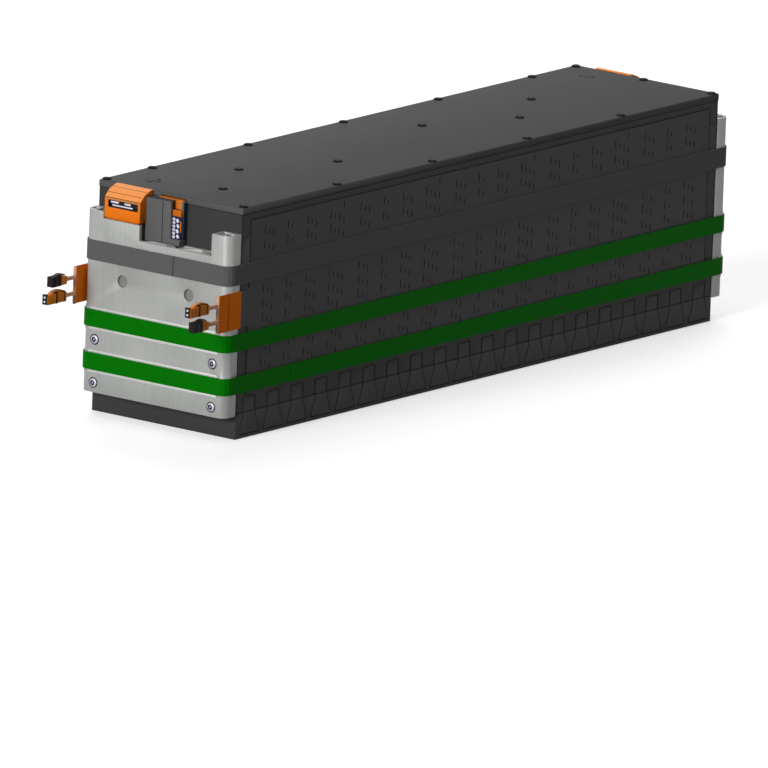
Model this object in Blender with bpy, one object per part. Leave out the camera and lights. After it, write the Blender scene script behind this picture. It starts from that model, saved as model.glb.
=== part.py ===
"""Battery module for an electric vehicle: twenty prismatic cells, two in parallel and ten in series.

Metres, +Z up. The module's length runs along X with the connector end at -X, and the origin is at
the middle of the tray's underside. Run it with: blender --background --python part.py
"""

import math

import bmesh
import bpy
from mathutils import Matrix, Vector

MM = 0.001

# Clearance between pieces that rest on each other, and how far joined shapes run into each other
FIT = 0.3 * MM
SINK = 0.6 * MM
CUT_PAST = 2 * MM

# Cells, stacked along X
CELL_COUNT = 20
CELL_THICKNESS = 29.3 * MM
CELL_WIDTH = 135 * MM
CELL_HEIGHT = 157 * MM
CELL_CORNER = 2 * MM
PAD_THICKNESS = 0.7 * MM
PAD_MARGIN = 5 * MM
TERMINAL_INSET = 19.3 * MM
TERMINAL_LENGTH = 20 * MM
TERMINAL_WIDTH = 18 * MM
TERMINAL_HEIGHT = 3 * MM

# Bottom tray
TRAY_FLOOR = 3 * MM
TRAY_END_WALL = 1.2 * MM
TRAY_END_HEIGHT = 18.5 * MM
TRAY_SIDE_WALL = 1.5 * MM
TRAY_SIDE_HEIGHT = 20.4 * MM
BUTTRESS_FOOT = 24.5 * MM
BUTTRESS_HEAD = 14.5 * MM
TONGUE_TOP = 32.5 * MM
TONGUE_THICKNESS = 0.8 * MM

# Side panels, end insulators and heater films
PANEL_THICKNESS = 3.2 * MM
PANEL_SKIRT = 1.7 * MM
PANEL_SKIRT_FOOT = 6 * MM
INSULATOR_THICKNESS = 1.2 * MM
FILM_THICKNESS = 0.4 * MM
FILM_COVER = 0.1 * MM
FILM_END_MARGIN = 9.8 * MM
FILM_BOTTOM = 34.5 * MM
FILM_TOP_MARGIN = 4.9 * MM
TAIL_BOTTOM = 89.2 * MM
TAIL_HEIGHT = 30 * MM
TAIL_REACH = 13 * MM
TAIL_JOGGLE = 5 * MM

# Extruded end plates
PLATE_THICKNESS = 15.3 * MM
PLATE_BOTTOM = 18.8 * MM
PLATE_RISE = 4 * MM
PLATE_CORNER = 7.5 * MM
PLATE_INNER_CORNER = 1.2 * MM
PLATE_WALL = 2 * MM
WEB_THICKNESS = 1.6 * MM
WEB_END_GAP = 1.8 * MM
WEB_HALF_BAYS = 3
POST_WALL_INSET = 16.8 * MM
BOSS_WIDTH = 9 * MM
BOLT_HOLE_RADIUS = 3.3 * MM
BOLT_HOLE_EDGE = 4.9 * MM
MIDDLE_NOTCH_DEPTH = 17.8 * MM
LAND_PROUD = 0.5 * MM
LAND_WIDTH = 18.5 * MM
GRIP_HOLE_RADIUS = 5 * MM
GRIP_HOLE_INSET = 38.8 * MM
GRIP_HOLE_DROP = 52.6 * MM
SCREW_INSET = 13.1 * MM
SCREW_HEIGHTS = (26.6 * MM, 61.2 * MM)
SCREW_HEAD_RADIUS = 4.2 * MM
SCREW_HEAD_PROUD = 2 * MM
SCREW_SHANK_RADIUS = 2.5 * MM
SCREW_SHANK_LENGTH = 9 * MM
SCREW_SOCKET_RADIUS = 1.9 * MM
SCREW_SOCKET_DEPTH = 1.2 * MM

# Straps
STRAP_THICKNESS = 0.8 * MM
GREY_STRAP_DROP = 31.8 * MM
GREY_STRAP_WIDTH = 16 * MM
GREY_SEAM = -17.7 * MM
GREY_LAP = 60 * MM
GREEN_STRAP_WIDTH = 13.6 * MM
UPPER_GREEN_Z = 78.2 * MM
LOWER_GREEN_Z = 43.8 * MM
GREEN_LAP_PITCHES = (3.59, 7.81)

# Busbars
BUSBAR_THICKNESS = 2 * MM
BUSBAR_DECK_GAP = 2.2 * MM
BUSBAR_WALL_GAP = 0.4 * MM
BUSBAR_END_MARGIN = 3 * MM
BUSBAR_CORNER = 3 * MM
HUMP_WIDTH = 9 * MM
HUMP_HEIGHT = 4 * MM
HUMP_STEPS = 4
WELD_HOLE_RADIUS = 1.8 * MM
TERMINAL_SIDE_ENDS = (2, 6, 10, 14, 18, 20)
FAR_SIDE_ENDS = (4, 8, 12, 16, 20)
OUTPUT_TAIL_REACH = 14 * MM
TERMINAL_BOLT_RADIUS = 3.2 * MM

# Busbar carrier
CARRIER_FLOOR = 2 * MM
CARRIER_HEIGHT = 18.8 * MM
CARRIER_WALL = 1.6 * MM
WINDOW_MARGIN = 1.5 * MM
DIVIDER_WIDTH = 3 * MM
DIVIDER_RISE = 6 * MM
DECK_WIDTH = 47 * MM
DECK_RISE = 2.1 * MM
BAR_INNER_Y = 11.2 * MM
BAR_RISE = 3.2 * MM
BAR_SLOT_MARGIN = 1 * MM
BOSS_RADIUS = 2.4 * MM
BOSS_BORE_RADIUS = 1.6 * MM
BOSS_BORE_DEPTH = 9 * MM

# Flexible circuit
FLEX_THICKNESS = 0.4 * MM
FLEX_HALF_WIDTH = 9.25 * MM
FLEX_WIDE_Y = 15 * MM
FLEX_WIDE_END = 38 * MM
FLEX_FAR_MARGIN = 11.5 * MM
FLEX_REACH = 3 * MM
FLEX_RAMP_LENGTH = 12 * MM
FLEX_RAMP_START = 28 * MM
ARM_WIDTH = 8.4 * MM
BRIDGE_WIDTH = 5 * MM
SENSE_PAD = 9.6 * MM
SENSE_PAD_INNER_Y = 12.4 * MM
SENSE_PAD_OUTER_Y = 22.4 * MM
NICKEL_WIDTH = 6.3 * MM
NICKEL_REACH = 33.6 * MM
NICKEL_THICKNESS = 0.4 * MM
LAST_TAB_SHIFT = 4 * MM
SENSOR_SIZE = (6 * MM, 7.6 * MM, 1.6 * MM)
TERMINAL_SIDE_SENSORS = (10, 14)
FAR_SIDE_SENSORS = (4, 20)

# Lid and its screws
LID_PLATE = 2 * MM
LID_RIM_DEPTH = 3.3 * MM
LID_RIM = 1.2 * MM
LID_EDGE_ROUND = 0.6 * MM
LID_SCREW_RADIUS = 3.5 * MM
LID_SCREW_TOP_RADIUS = 2.7 * MM
LID_SCREW_PROUD = 1.4 * MM
LID_SHANK_RADIUS = 1.25 * MM
LID_SHANK_LENGTH = 9 * MM
EDGE_SCREW_INSET = 3 * MM
END_SCREW_MARGIN = 5 * MM
INNER_SCREW_Y = 17.5 * MM
INNER_SCREW_PITCHES_TERMINAL_SIDE = (-6.5, 1.18, 5.82)
INNER_SCREW_PITCHES_FAR_SIDE = (-8.62, -3.83, 3.84)

# Terminal seats and covers, over the end plates
SEAT_HEIGHT = 4 * MM
SEAT_MARGIN = 2.2 * MM
NUT_RADIUS = 5.5 * MM
NUT_HEIGHT = 3.2 * MM
COVER_START_Y = 17.9 * MM
COVER_GAP = 0.4 * MM
COVER_WALL = 1.2 * MM
COVER_PROUD = 1 * MM
COVER_LIFT = 1.7 * MM
COVER_FRONT_HEIGHT = 16.4 * MM
COVER_CHAMFER = 5.5 * MM
COVER_CROWN = 3 * MM
CATCH_SLOT_MARGIN = 4.1 * MM
CATCH_SLOT_HEIGHT = 5 * MM
CATCH_SLOT_DROP = 3.4 * MM

# Signal connector, on the middle notch of the front end plate
CONNECTOR_START_Y = -16.8 * MM
CONNECTOR_END_Y = 17.2 * MM
CONNECTOR_DEPTH = 8.6 * MM
CONNECTOR_REBATE_Y = -7.6 * MM
CONNECTOR_REBATE_DEPTH = 4.2 * MM
CONNECTOR_POCKET_DEPTH = 3 * MM
HEADER_START_Y = -14.7 * MM
HEADER_END_Y = -4.4 * MM
HEADER_FLOOR = 5 * MM
HEADER_HEIGHT = 22.5 * MM
HEADER_PIN_ROWS = 5
HEADER_PIN_SIZE = 1.9 * MM

# Heater leads and connectors
LEAD_HEIGHTS = (98.0 * MM, 111.0 * MM)
LEAD_WIRE_RADIUS = 0.95 * MM
LEAD_WIRE_SPREAD = 1.7 * MM
LEAD_OVERLAP = 9 * MM
LEAD_LENGTH = 19 * MM
PLUG_SIZE = (29.5 * MM, 6.2 * MM, 9.2 * MM)
SOCKET_SIZE = (22 * MM, 6.2 * MM, 8 * MM)
CONTACT_SIZE = 2.8 * MM
CONTACT_DEPTH = 4 * MM
LATCH_HEIGHT = 1.2 * MM
LATCH_START_SHARE = 0.2
LATCH_END_SHARE = 0.7

# Worked out from the sizes above
CELL_PITCH = CELL_THICKNESS + PAD_THICKNESS + FIT
STACK_HALF = CELL_COUNT * CELL_PITCH / 2
BODY_HALF = STACK_HALF + FIT / 2 + INSULATOR_THICKNESS
PLATE_INNER_X = BODY_HALF + FIT
PLATE_OUTER_X = PLATE_INNER_X + PLATE_THICKNESS
PANEL_INNER_Y = CELL_WIDTH / 2 + FIT
PANEL_OUTER_Y = PANEL_INNER_Y + PANEL_THICKNESS
FILM_INNER_Y = PANEL_OUTER_Y + FIT
FILM_OUTER_Y = FILM_INNER_Y + FILM_THICKNESS
BODY_HALF_WIDTH = FILM_OUTER_Y + FILM_COVER
TAIL_INNER_Y = BODY_HALF_WIDTH + FIT
CELL_BOTTOM = TRAY_FLOOR + FIT
CELL_TOP = CELL_BOTTOM + CELL_HEIGHT
TERMINAL_SPACING = CELL_WIDTH - 2 * TERMINAL_INSET
PLATE_TOP = CELL_TOP + PLATE_RISE
CARRIER_BOTTOM = CELL_TOP + FIT
CARRIER_TOP = CARRIER_BOTTOM + CARRIER_HEIGHT
FILM_TOP = CARRIER_TOP - FILM_TOP_MARGIN
BUSBAR_BOTTOM = CELL_TOP + TERMINAL_HEIGHT + FIT
BUSBAR_TOP = BUSBAR_BOTTOM + BUSBAR_THICKNESS
BUSBAR_INNER_Y = DECK_WIDTH / 2 + BUSBAR_DECK_GAP
BUSBAR_OUTER_Y = PANEL_OUTER_Y - CARRIER_WALL - BUSBAR_WALL_GAP
DECK_TOP = BUSBAR_TOP + DECK_RISE
FLEX_BOTTOM = DECK_TOP + FIT
FLEX_TOP = FLEX_BOTTOM + FLEX_THICKNESS
LID_RIM_BOTTOM = CARRIER_TOP + FIT
LID_INSIDE = LID_RIM_BOTTOM + LID_RIM_DEPTH
LID_TOP = LID_INSIDE + LID_PLATE
BOSS_TOP = LID_INSIDE - FIT
TERMINAL_NOTCH_FLOOR = BUSBAR_BOTTOM - FIT - SEAT_HEIGHT - FIT
MIDDLE_NOTCH_FLOOR = PLATE_TOP - MIDDLE_NOTCH_DEPTH
POST_WALL_Y = BODY_HALF_WIDTH - POST_WALL_INSET
POST_INNER_Y = POST_WALL_Y - PLATE_WALL / 2
WEB_PITCH = (POST_INNER_Y - WEB_END_GAP) / WEB_HALF_BAYS
GRIP_HOLE_Y = BODY_HALF_WIDTH - GRIP_HOLE_INSET
GRIP_HOLE_Z = PLATE_TOP - GRIP_HOLE_DROP
SCREW_Y = BODY_HALF_WIDTH - SCREW_INSET
GREY_STRAP_Z = PLATE_TOP - GREY_STRAP_DROP
EDGE_SCREW_Y = PANEL_OUTER_Y - EDGE_SCREW_INSET
COVER_END_Y = POST_INNER_Y - COVER_GAP
COVER_BOTTOM = TERMINAL_NOTCH_FLOOR + COVER_LIFT
COVER_FRONT_TOP = COVER_BOTTOM + COVER_FRONT_HEIGHT
COVER_TOP = COVER_FRONT_TOP + COVER_CHAMFER + COVER_CROWN


def hex_colour(code):
    """The linear colour of an sRGB hex code."""
    parts = [int(code[i:i + 2], 16) / 255 for i in (0, 2, 4)]
    return [p / 12.92 if p <= 0.04045 else ((p + 0.055) / 1.055) ** 2.4 for p in parts] + [1]


def make_material(name, colour, roughness, metallic=0.0):
    material = bpy.data.materials.new(name)
    material.use_nodes = True
    shader = material.node_tree.nodes["Principled BSDF"]
    shader.inputs["Base Color"].default_value = hex_colour(colour)
    shader.inputs["Roughness"].default_value = roughness
    shader.inputs["Metallic"].default_value = metallic
    return material


def clear_scene():
    for obj in list(bpy.data.objects):
        bpy.data.objects.remove(obj, do_unlink=True)


def make_collection(name):
    collection = bpy.data.collections.new(name)
    bpy.context.scene.collection.children.link(collection)
    return collection


clear_scene()
PARTS = make_collection("battery_module")
CUTTERS = make_collection("cutters")
CUTTERS.hide_render = True


def block(low, high):
    """A box between two corners."""
    shape = bmesh.new()
    bmesh.ops.create_cube(shape, size=1)
    low, high = Vector(low), Vector(high)
    size = high - low
    place = Matrix.Translation((low + high) / 2) @ Matrix.Diagonal((*size, 1))
    bmesh.ops.transform(shape, matrix=place, verts=shape.verts)
    return shape


def round_edges(shape, radius, chosen, segments=2):
    """Bevels the edges for which chosen(start, end) is true."""
    edges = [e for e in shape.edges if chosen(*(v.co for v in e.verts))]
    bmesh.ops.bevel(shape, geom=edges, offset=radius, segments=segments, profile=0.5, affect="EDGES")
    return shape


def upright(start, end):
    return abs(start.z - end.z) > abs(start.x - end.x) + abs(start.y - end.y)


TURN_TO = {
    "X": Matrix(((0, 0, 1, 0), (1, 0, 0, 0), (0, 1, 0, 0), (0, 0, 0, 1))),
    "Y": Matrix(((1, 0, 0, 0), (0, 0, -1, 0), (0, 1, 0, 0), (0, 0, 0, 1))),
    "Z": Matrix.Identity(4),
}


def bar(centre, radius, length, axis, sides, end_radius=None):
    """A round bar about an axis, or a taper when end_radius is given. centre is its middle."""
    shape = bmesh.new()
    bmesh.ops.create_cone(shape, cap_ends=True, segments=sides, radius1=radius,
                          radius2=radius if end_radius is None else end_radius, depth=length)
    bmesh.ops.transform(shape, matrix=Matrix.Translation(centre) @ TURN_TO[axis], verts=shape.verts)
    return shape


def flat(outlines, axis, low, high):
    """A flat piece from one outline and its holes, thick from low to high along an axis.

    Points are (x, y) for Z, (y, z) for X and (x, z) for Y.
    """
    curve = bpy.data.curves.new("outline", "CURVE")
    curve.dimensions = "2D"
    curve.fill_mode = "BOTH"
    curve.extrude = (high - low) / 2
    for points in outlines:
        spline = curve.splines.new("POLY")
        spline.points.add(len(points) - 1)
        for target, (across, along) in zip(spline.points, points):
            target.co = (across, along, 0, 1)
        spline.use_cyclic_u = True
    guide = bpy.data.objects.new("outline", curve)
    CUTTERS.objects.link(guide)
    middle = (low + high) / 2
    offset = {"X": (middle, 0, 0), "Y": (0, middle, 0), "Z": (0, 0, middle)}[axis]
    guide.matrix_world = Matrix.Translation(offset) @ TURN_TO[axis]
    graph = bpy.context.evaluated_depsgraph_get()
    mesh = bpy.data.meshes.new_from_object(guide.evaluated_get(graph))
    shape = bmesh.new()
    shape.from_mesh(mesh)
    bmesh.ops.transform(shape, matrix=guide.matrix_world, verts=shape.verts)
    bmesh.ops.remove_doubles(shape, verts=shape.verts, dist=1e-7)
    bmesh.ops.recalc_face_normals(shape, faces=shape.faces)
    bpy.data.objects.remove(guide, do_unlink=True)
    bpy.data.curves.remove(curve)
    bpy.data.meshes.remove(mesh)
    return shape


def make_mesh(name, shapes):
    """One mesh from shapes that don't meet."""
    mesh = bpy.data.meshes.new(name)
    whole = bmesh.new()
    for shape in shapes:
        shape.to_mesh(mesh)
        shape.free()
        whole.from_mesh(mesh)
    whole.to_mesh(mesh)
    whole.free()
    mesh.shade_smooth()
    mesh.set_sharp_from_angle(angle=math.radians(35))
    return mesh


def make_piece(name, shape, material):
    mesh = make_mesh(name, [shape])
    mesh.materials.append(material)
    obj = bpy.data.objects.new(name, mesh)
    PARTS.objects.link(obj)
    return obj


def combine(obj, operation, shapes, solver):
    """A Boolean of the object with shapes that don't meet one another."""
    helper = bpy.data.objects.new(f"{obj.name}_{operation.lower()}", make_mesh(obj.name, shapes))
    helper.hide_render = True
    helper.display_type = "WIRE"
    CUTTERS.objects.link(helper)
    modifier = obj.modifiers.new(operation.title(), "BOOLEAN")
    modifier.operation = operation
    modifier.solver = solver
    modifier.object = helper


def cut(obj, *shapes, solver="EXACT"):
    combine(obj, "DIFFERENCE", shapes, solver)


def join(obj, *shapes, solver="EXACT"):
    combine(obj, "UNION", shapes, solver)


def arc(centre, radius, start, end, steps):
    """Points on an arc, angles in degrees."""
    angles = [math.radians(start + (end - start) * i / steps) for i in range(steps + 1)]
    return [(centre[0] + radius * math.cos(a), centre[1] + radius * math.sin(a)) for a in angles]


def round_rectangle(half_x, half_y, radius, steps=4):
    x, y = half_x - radius, half_y - radius
    return (arc((x, y), radius, 0, 90, steps) + arc((-x, y), radius, 90, 180, steps)
            + arc((-x, -y), radius, 180, 270, steps) + arc((x, -y), radius, 270, 360, steps))


def cell_x(number):
    """The middle of a cell, numbered from 1 at the connector end."""
    return (number - 0.5) * CELL_PITCH - STACK_HALF


def terminal_windows(margin):
    """Half sizes of a terminal's opening."""
    return TERMINAL_LENGTH / 2 + margin, TERMINAL_WIDTH / 2 + margin


def make_cells():
    can = make_material("cell_can", "8FA0A8", 0.35, 0.6)
    half, top = CELL_WIDTH / 2, CELL_TOP
    pad_half = half - PAD_MARGIN
    across, along = terminal_windows(0)
    for number in range(1, CELL_COUNT + 1):
        x = cell_x(number)
        start = x - CELL_PITCH / 2 + FIT / 2
        end = start + CELL_THICKNESS
        shape = round_edges(block((start, -half, CELL_BOTTOM), (end, half, top)), CELL_CORNER, upright, 1)
        cell = make_piece(f"cell_{number:02d}", shape, can)
        pad = block((end - SINK, -pad_half, CELL_BOTTOM + PAD_MARGIN),
                    (end + PAD_THICKNESS, pad_half, top - PAD_MARGIN))
        terminals = [block((x - across, y - along, top - SINK),
                           (x + across, y + along, top + TERMINAL_HEIGHT))
                     for y in (-TERMINAL_SPACING / 2, TERMINAL_SPACING / 2)]
        join(cell, pad, *terminals)


def tongue_outline():
    """One buttress, seen from the side: tapered up to the wall's top."""
    foot, head = BUTTRESS_FOOT / 2, BUTTRESS_HEAD / 2
    return [(-foot, TRAY_FLOOR), (foot, TRAY_FLOOR), (head, TRAY_SIDE_HEIGHT), (-head, TRAY_SIDE_HEIGHT)]


def make_tray():
    plastic = make_material("tray_plastic", "333333", 0.5)
    wall_outer = PANEL_OUTER_Y + FIT
    shape = block((-BODY_HALF, -wall_outer, 0), (BODY_HALF, wall_outer, TRAY_SIDE_HEIGHT))
    tray = make_piece("bottom_tray", shape, plastic)
    inner_x = BODY_HALF - TRAY_END_WALL
    inner_y = wall_outer - TRAY_SIDE_WALL
    high = TRAY_SIDE_HEIGHT + CUT_PAST
    cut(tray, block((-inner_x, -inner_y, TRAY_FLOOR), (inner_x, inner_y, high)))
    past_y = wall_outer + CUT_PAST
    ends = [block((x - CUT_PAST, -past_y, TRAY_END_HEIGHT), (x + CUT_PAST, past_y, high))
            for x in (-BODY_HALF, BODY_HALF)]
    cut(tray, *ends)
    buttresses, tongues = [], []
    for number in range(1, CELL_COUNT + 1):
        points = [(cell_x(number) + x, z) for x, z in tongue_outline()]
        for side in (-1, 1):
            ys = sorted((side * (wall_outer - SINK), side * BODY_HALF_WIDTH))
            buttresses.append(flat([points], "Y", *ys))
            face = wall_outer - SINK / 2
            inner, outer = sorted((side * (face - TONGUE_THICKNESS), side * face))
            half = BUTTRESS_HEAD / 2
            tongues.append(block((cell_x(number) - half, inner, TRAY_SIDE_HEIGHT - TONGUE_THICKNESS),
                                 (cell_x(number) + half, outer, TONGUE_TOP)))
    join(tray, *buttresses)
    join(tray, *tongues)


def make_side_panels():
    plastic = make_material("panel_plastic", "333333", 0.5)
    half = STACK_HALF
    foot = TRAY_SIDE_HEIGHT + FIT
    skirt_half = BODY_HALF - TRAY_END_WALL - FIT
    for name, side in (("side_panel_left", 1), ("side_panel_right", -1)):
        inner, outer = sorted((side * PANEL_INNER_Y, side * PANEL_OUTER_Y))
        panel = make_piece(name, block((-half, inner, foot), (half, outer, CELL_TOP)), plastic)
        skirt = sorted((side * PANEL_INNER_Y, side * (PANEL_INNER_Y + PANEL_SKIRT)))
        join(panel, block((-skirt_half, skirt[0], PANEL_SKIRT_FOOT), (skirt_half, skirt[1], foot + SINK)))
        pocket = sorted((side * (PANEL_OUTER_Y + FIT - SINK / 2 - TONGUE_THICKNESS - FIT),
                         side * (PANEL_OUTER_Y + CUT_PAST)))
        pocket_half = BUTTRESS_HEAD / 2 + FIT
        cut(panel, *[block((cell_x(n) - pocket_half, pocket[0], foot - CUT_PAST),
                           (cell_x(n) + pocket_half, pocket[1], TONGUE_TOP + FIT))
                     for n in range(1, CELL_COUNT + 1)])


def make_insulators():
    sheet = make_material("insulator_sheet", "3A3A3A", 0.55)
    tail_low = BUSBAR_BOTTOM - 2 * FIT
    past = CARRIER_TOP + CUT_PAST
    for name, end in (("end_insulator_front", -1), ("end_insulator_rear", 1)):
        xs = sorted((end * (BODY_HALF - INSULATOR_THICKNESS), end * BODY_HALF))
        shape = block((xs[0], -PANEL_OUTER_Y, PLATE_BOTTOM), (xs[1], PANEL_OUTER_Y, CARRIER_TOP))
        insulator = make_piece(name, shape, sheet)
        x_past = (xs[0] - CUT_PAST, xs[1] + CUT_PAST)
        gaps = [block((x_past[0], tail_start(), tail_low), (x_past[1], tail_end(), past))]
        if end < 0:
            gaps.append(block((x_past[0], -FLEX_WIDE_Y - FIT, FLEX_BOTTOM),
                              (x_past[1], FLEX_HALF_WIDTH + FIT, past)))
        cut(insulator, *gaps)


def tail_start():
    return COVER_START_Y + COVER_WALL + FIT / 2


def tail_end():
    return COVER_END_Y - COVER_WALL - FIT / 2


def tail_root():
    """How far from the middle an output tail starts, inside its busbar."""
    return STACK_HALF - BUSBAR_END_MARGIN - 2 * BUSBAR_CORNER


def make_heater_films():
    film = make_material("heater_film", "8A4400", 0.45)
    middle = (FILM_INNER_Y + FILM_OUTER_Y) / 2
    start = -STACK_HALF + FILM_END_MARGIN - FIT
    tail_end_x = -PLATE_OUTER_X - TAIL_REACH
    bend_end = -PLATE_INNER_X + FIT
    bend_start = bend_end + TAIL_JOGGLE
    for name, side in (("heater_film_left", 1), ("heater_film_right", -1)):
        inner, outer = sorted((side * FILM_INNER_Y, side * FILM_OUTER_Y))
        sheet = make_piece(name, block((start, inner, FILM_BOTTOM), (-start, outer, FILM_TOP)), film)
        low, high = TAIL_INNER_Y, TAIL_INNER_Y + FILM_THICKNESS
        path = [(start + TAIL_JOGGLE, FILM_INNER_Y), (bend_start, FILM_INNER_Y), (bend_end, low),
                (tail_end_x, low), (tail_end_x, high), (bend_end, high), (bend_start, FILM_OUTER_Y),
                (start + TAIL_JOGGLE, FILM_OUTER_Y)]
        points = [(x, side * y) for x, y in path]
        join(sheet, flat([points], "Z", TAIL_BOTTOM, TAIL_BOTTOM + TAIL_HEIGHT))


def plate_face(grow):
    """The outer side of an end plate's section, from +Y to -Y, grown by some amount."""
    half, outer = BODY_HALF_WIDTH + grow, PLATE_OUTER_X + grow
    radius = PLATE_CORNER + grow
    return (arc((outer - radius, half - radius), radius, 90, 0, 6)
            + arc((outer - radius, radius - half), radius, 0, -90, 6))


def plate_section():
    """The section of the extruded end plate: its outline, then the cells that its webs leave open."""
    inner, corner = PLATE_INNER_X, PLATE_INNER_CORNER
    half = BODY_HALF_WIDTH - corner
    outline = (plate_face(0) + arc((inner + corner, -half), corner, 270, 180, 2)
               + arc((inner + corner, half), corner, 180, 90, 2))
    near, far = inner + PLATE_WALL, PLATE_OUTER_X - PLATE_WALL
    depth = far - near
    web_length = math.hypot(WEB_PITCH, depth)
    slant = WEB_THICKNESS / 2 * web_length / depth
    apex = slant * depth / WEB_PITCH
    cells = []
    for bay in range(1 - WEB_HALF_BAYS, WEB_HALF_BAYS):
        y, reach = bay * WEB_PITCH, WEB_PITCH - slant
        base, tip = (far, near + apex) if bay % 2 == 0 else (near, far - apex)
        cells.append([(base, y - reach), (base, y + reach), (tip, y)])
    end_start = (WEB_HALF_BAYS - 1) * WEB_PITCH + slant
    end_rise = min((POST_INNER_Y - end_start) * depth / WEB_PITCH, depth)
    boss_inner = BODY_HALF_WIDTH - BOSS_WIDTH
    for side in (-1, 1):
        cells.append([(near, side * end_start), (near, side * POST_INNER_Y),
                      (near + end_rise, side * POST_INNER_Y)])
        y0, y1 = side * (POST_WALL_Y + PLATE_WALL / 2), side * boss_inner
        cells.append([(near, y0), (far, y0), (far, y1), (near, y1)])
        hole = (bolt_hole_x(), side * (BODY_HALF_WIDTH - BOLT_HOLE_EDGE))
        cells.append(arc(hole, BOLT_HOLE_RADIUS, 0, 360, 16)[:-1])
    return [outline] + cells


def bolt_hole_x():
    return PLATE_INNER_X + PLATE_THICKNESS / 2


def land(z):
    """A raised band that keeps a strap in place, wrapped round the plate's outer face and corners."""
    band = plate_face(LAND_PROUD) + plate_face(-SINK)[::-1]
    return flat([band], "Z", z - LAND_WIDTH / 2, z + LAND_WIDTH / 2)


def mirrored_to(end, shape):
    """The shape as it is at +X, or mirrored to the other end."""
    if end < 0:
        bmesh.ops.transform(shape, matrix=Matrix.Diagonal((-1, 1, 1, 1)), verts=shape.verts)
        bmesh.ops.reverse_faces(shape, faces=shape.faces)
    return shape


def make_end_plates():
    aluminium = make_material("extruded_aluminium", "B0B3AE", 0.4, 0.7)
    top = PLATE_TOP + CUT_PAST
    for name, end in (("end_plate_front", -1), ("end_plate_rear", 1)):
        extrusion = flat(plate_section(), "Z", PLATE_BOTTOM, PLATE_TOP)
        plate = make_piece(name, mirrored_to(end, extrusion), aluminium)
        join(plate, *[mirrored_to(end, land(z)) for z in (LOWER_GREEN_Z, UPPER_GREEN_Z)],
             solver="MANIFOLD")
        xs = sorted((end * (PLATE_INNER_X - CUT_PAST), end * (PLATE_OUTER_X + CUT_PAST)))
        cut(plate, block((xs[0], -POST_INNER_Y, MIDDLE_NOTCH_FLOOR), (xs[1], COVER_START_Y, top)),
            solver="MANIFOLD")
        cut(plate, block((xs[0], COVER_START_Y - CUT_PAST, TERMINAL_NOTCH_FLOOR), (xs[1], POST_INNER_Y, top)),
            solver="MANIFOLD")
        hole_length = 2 * PLATE_WALL + 2 * CUT_PAST
        cut(plate, *[bar((end * PLATE_OUTER_X, y, GRIP_HOLE_Z), GRIP_HOLE_RADIUS, hole_length, "X", 16)
                     for y in (-GRIP_HOLE_Y, GRIP_HOLE_Y)], solver="MANIFOLD")
        if end < 0:
            add_plate_screws(plate)


def add_plate_screws(plate):
    places = [(y, z) for y in (-SCREW_Y, SCREW_Y) for z in SCREW_HEIGHTS]
    face = -PLATE_OUTER_X
    shank_middle = face + SCREW_SHANK_LENGTH / 2 - SINK / 2
    join(plate, *[bar((shank_middle, y, z), SCREW_SHANK_RADIUS, SCREW_SHANK_LENGTH, "X", 8) for y, z in places],
         solver="MANIFOLD")
    head_length = SCREW_HEAD_PROUD + SINK
    head_middle = face - SCREW_HEAD_PROUD + head_length / 2
    join(plate, *[bar((head_middle, y, z), SCREW_HEAD_RADIUS - SINK, head_length, "X", 12, SCREW_HEAD_RADIUS)
                  for y, z in places], solver="MANIFOLD")
    cut(plate, *[bar((face - SCREW_HEAD_PROUD, y, z), SCREW_SOCKET_RADIUS, 2 * SCREW_SOCKET_DEPTH, "X", 6)
                 for y, z in places], solver="MANIFOLD")


def make_strap(name, z, width, grow, material):
    """A closed loop of strap, which lies FIT clear of the end plates."""
    half_x, half_y = PLATE_OUTER_X + grow, BODY_HALF_WIDTH + grow
    radius = PLATE_CORNER + grow
    inside = round_rectangle(half_x, half_y, radius)
    outside = round_rectangle(half_x + STRAP_THICKNESS, half_y + STRAP_THICKNESS, radius + STRAP_THICKNESS)
    return make_piece(name, flat([outside, inside], "Z", z - width / 2, z + width / 2), material)


def make_straps():
    grey = make_material("grey_strap", "5D5D5D", 0.55)
    green = make_material("green_strap", "007500", 0.45)
    strap = make_strap("grey_strap", GREY_STRAP_Z, GREY_STRAP_WIDTH, FIT, grey)
    outer_x = PLATE_OUTER_X + FIT + STRAP_THICKNESS
    low, high = GREY_STRAP_Z - GREY_STRAP_WIDTH / 2, GREY_STRAP_Z + GREY_STRAP_WIDTH / 2
    lap = [(-outer_x + SINK / 2, GREY_SEAM), (-outer_x - STRAP_THICKNESS, GREY_SEAM),
           (-outer_x - STRAP_THICKNESS, GREY_SEAM + GREY_LAP / 2), (-outer_x + SINK / 2, GREY_SEAM + GREY_LAP)]
    join(strap, flat([lap], "Z", low + FIT / 2, high - FIT / 2))
    grow = LAND_PROUD + FIT
    outer_y = BODY_HALF_WIDTH + grow + STRAP_THICKNESS
    for name, z, side in (("upper_green_strap", UPPER_GREEN_Z, 1), ("lower_green_strap", LOWER_GREEN_Z, -1)):
        strap = make_strap(name, z, GREEN_STRAP_WIDTH, grow, green)
        xs = sorted(side * count * CELL_PITCH for count in GREEN_LAP_PITCHES)
        ys = sorted((side * (outer_y - SINK / 2), side * (outer_y + STRAP_THICKNESS)))
        half = GREEN_STRAP_WIDTH / 2 - FIT / 2
        join(strap, block((xs[0], ys[0], z - half), (xs[1], ys[1], z + half)))


def hump(x):
    """One relief hump of a busbar: points on its upper side, from -X to +X."""
    points = []
    for i in range(HUMP_STEPS + 1):
        share = i / HUMP_STEPS
        rise = HUMP_HEIGHT * math.sin(math.pi * share) ** 2
        points.append((x + (share - 0.5) * HUMP_WIDTH, rise))
    return points


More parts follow.
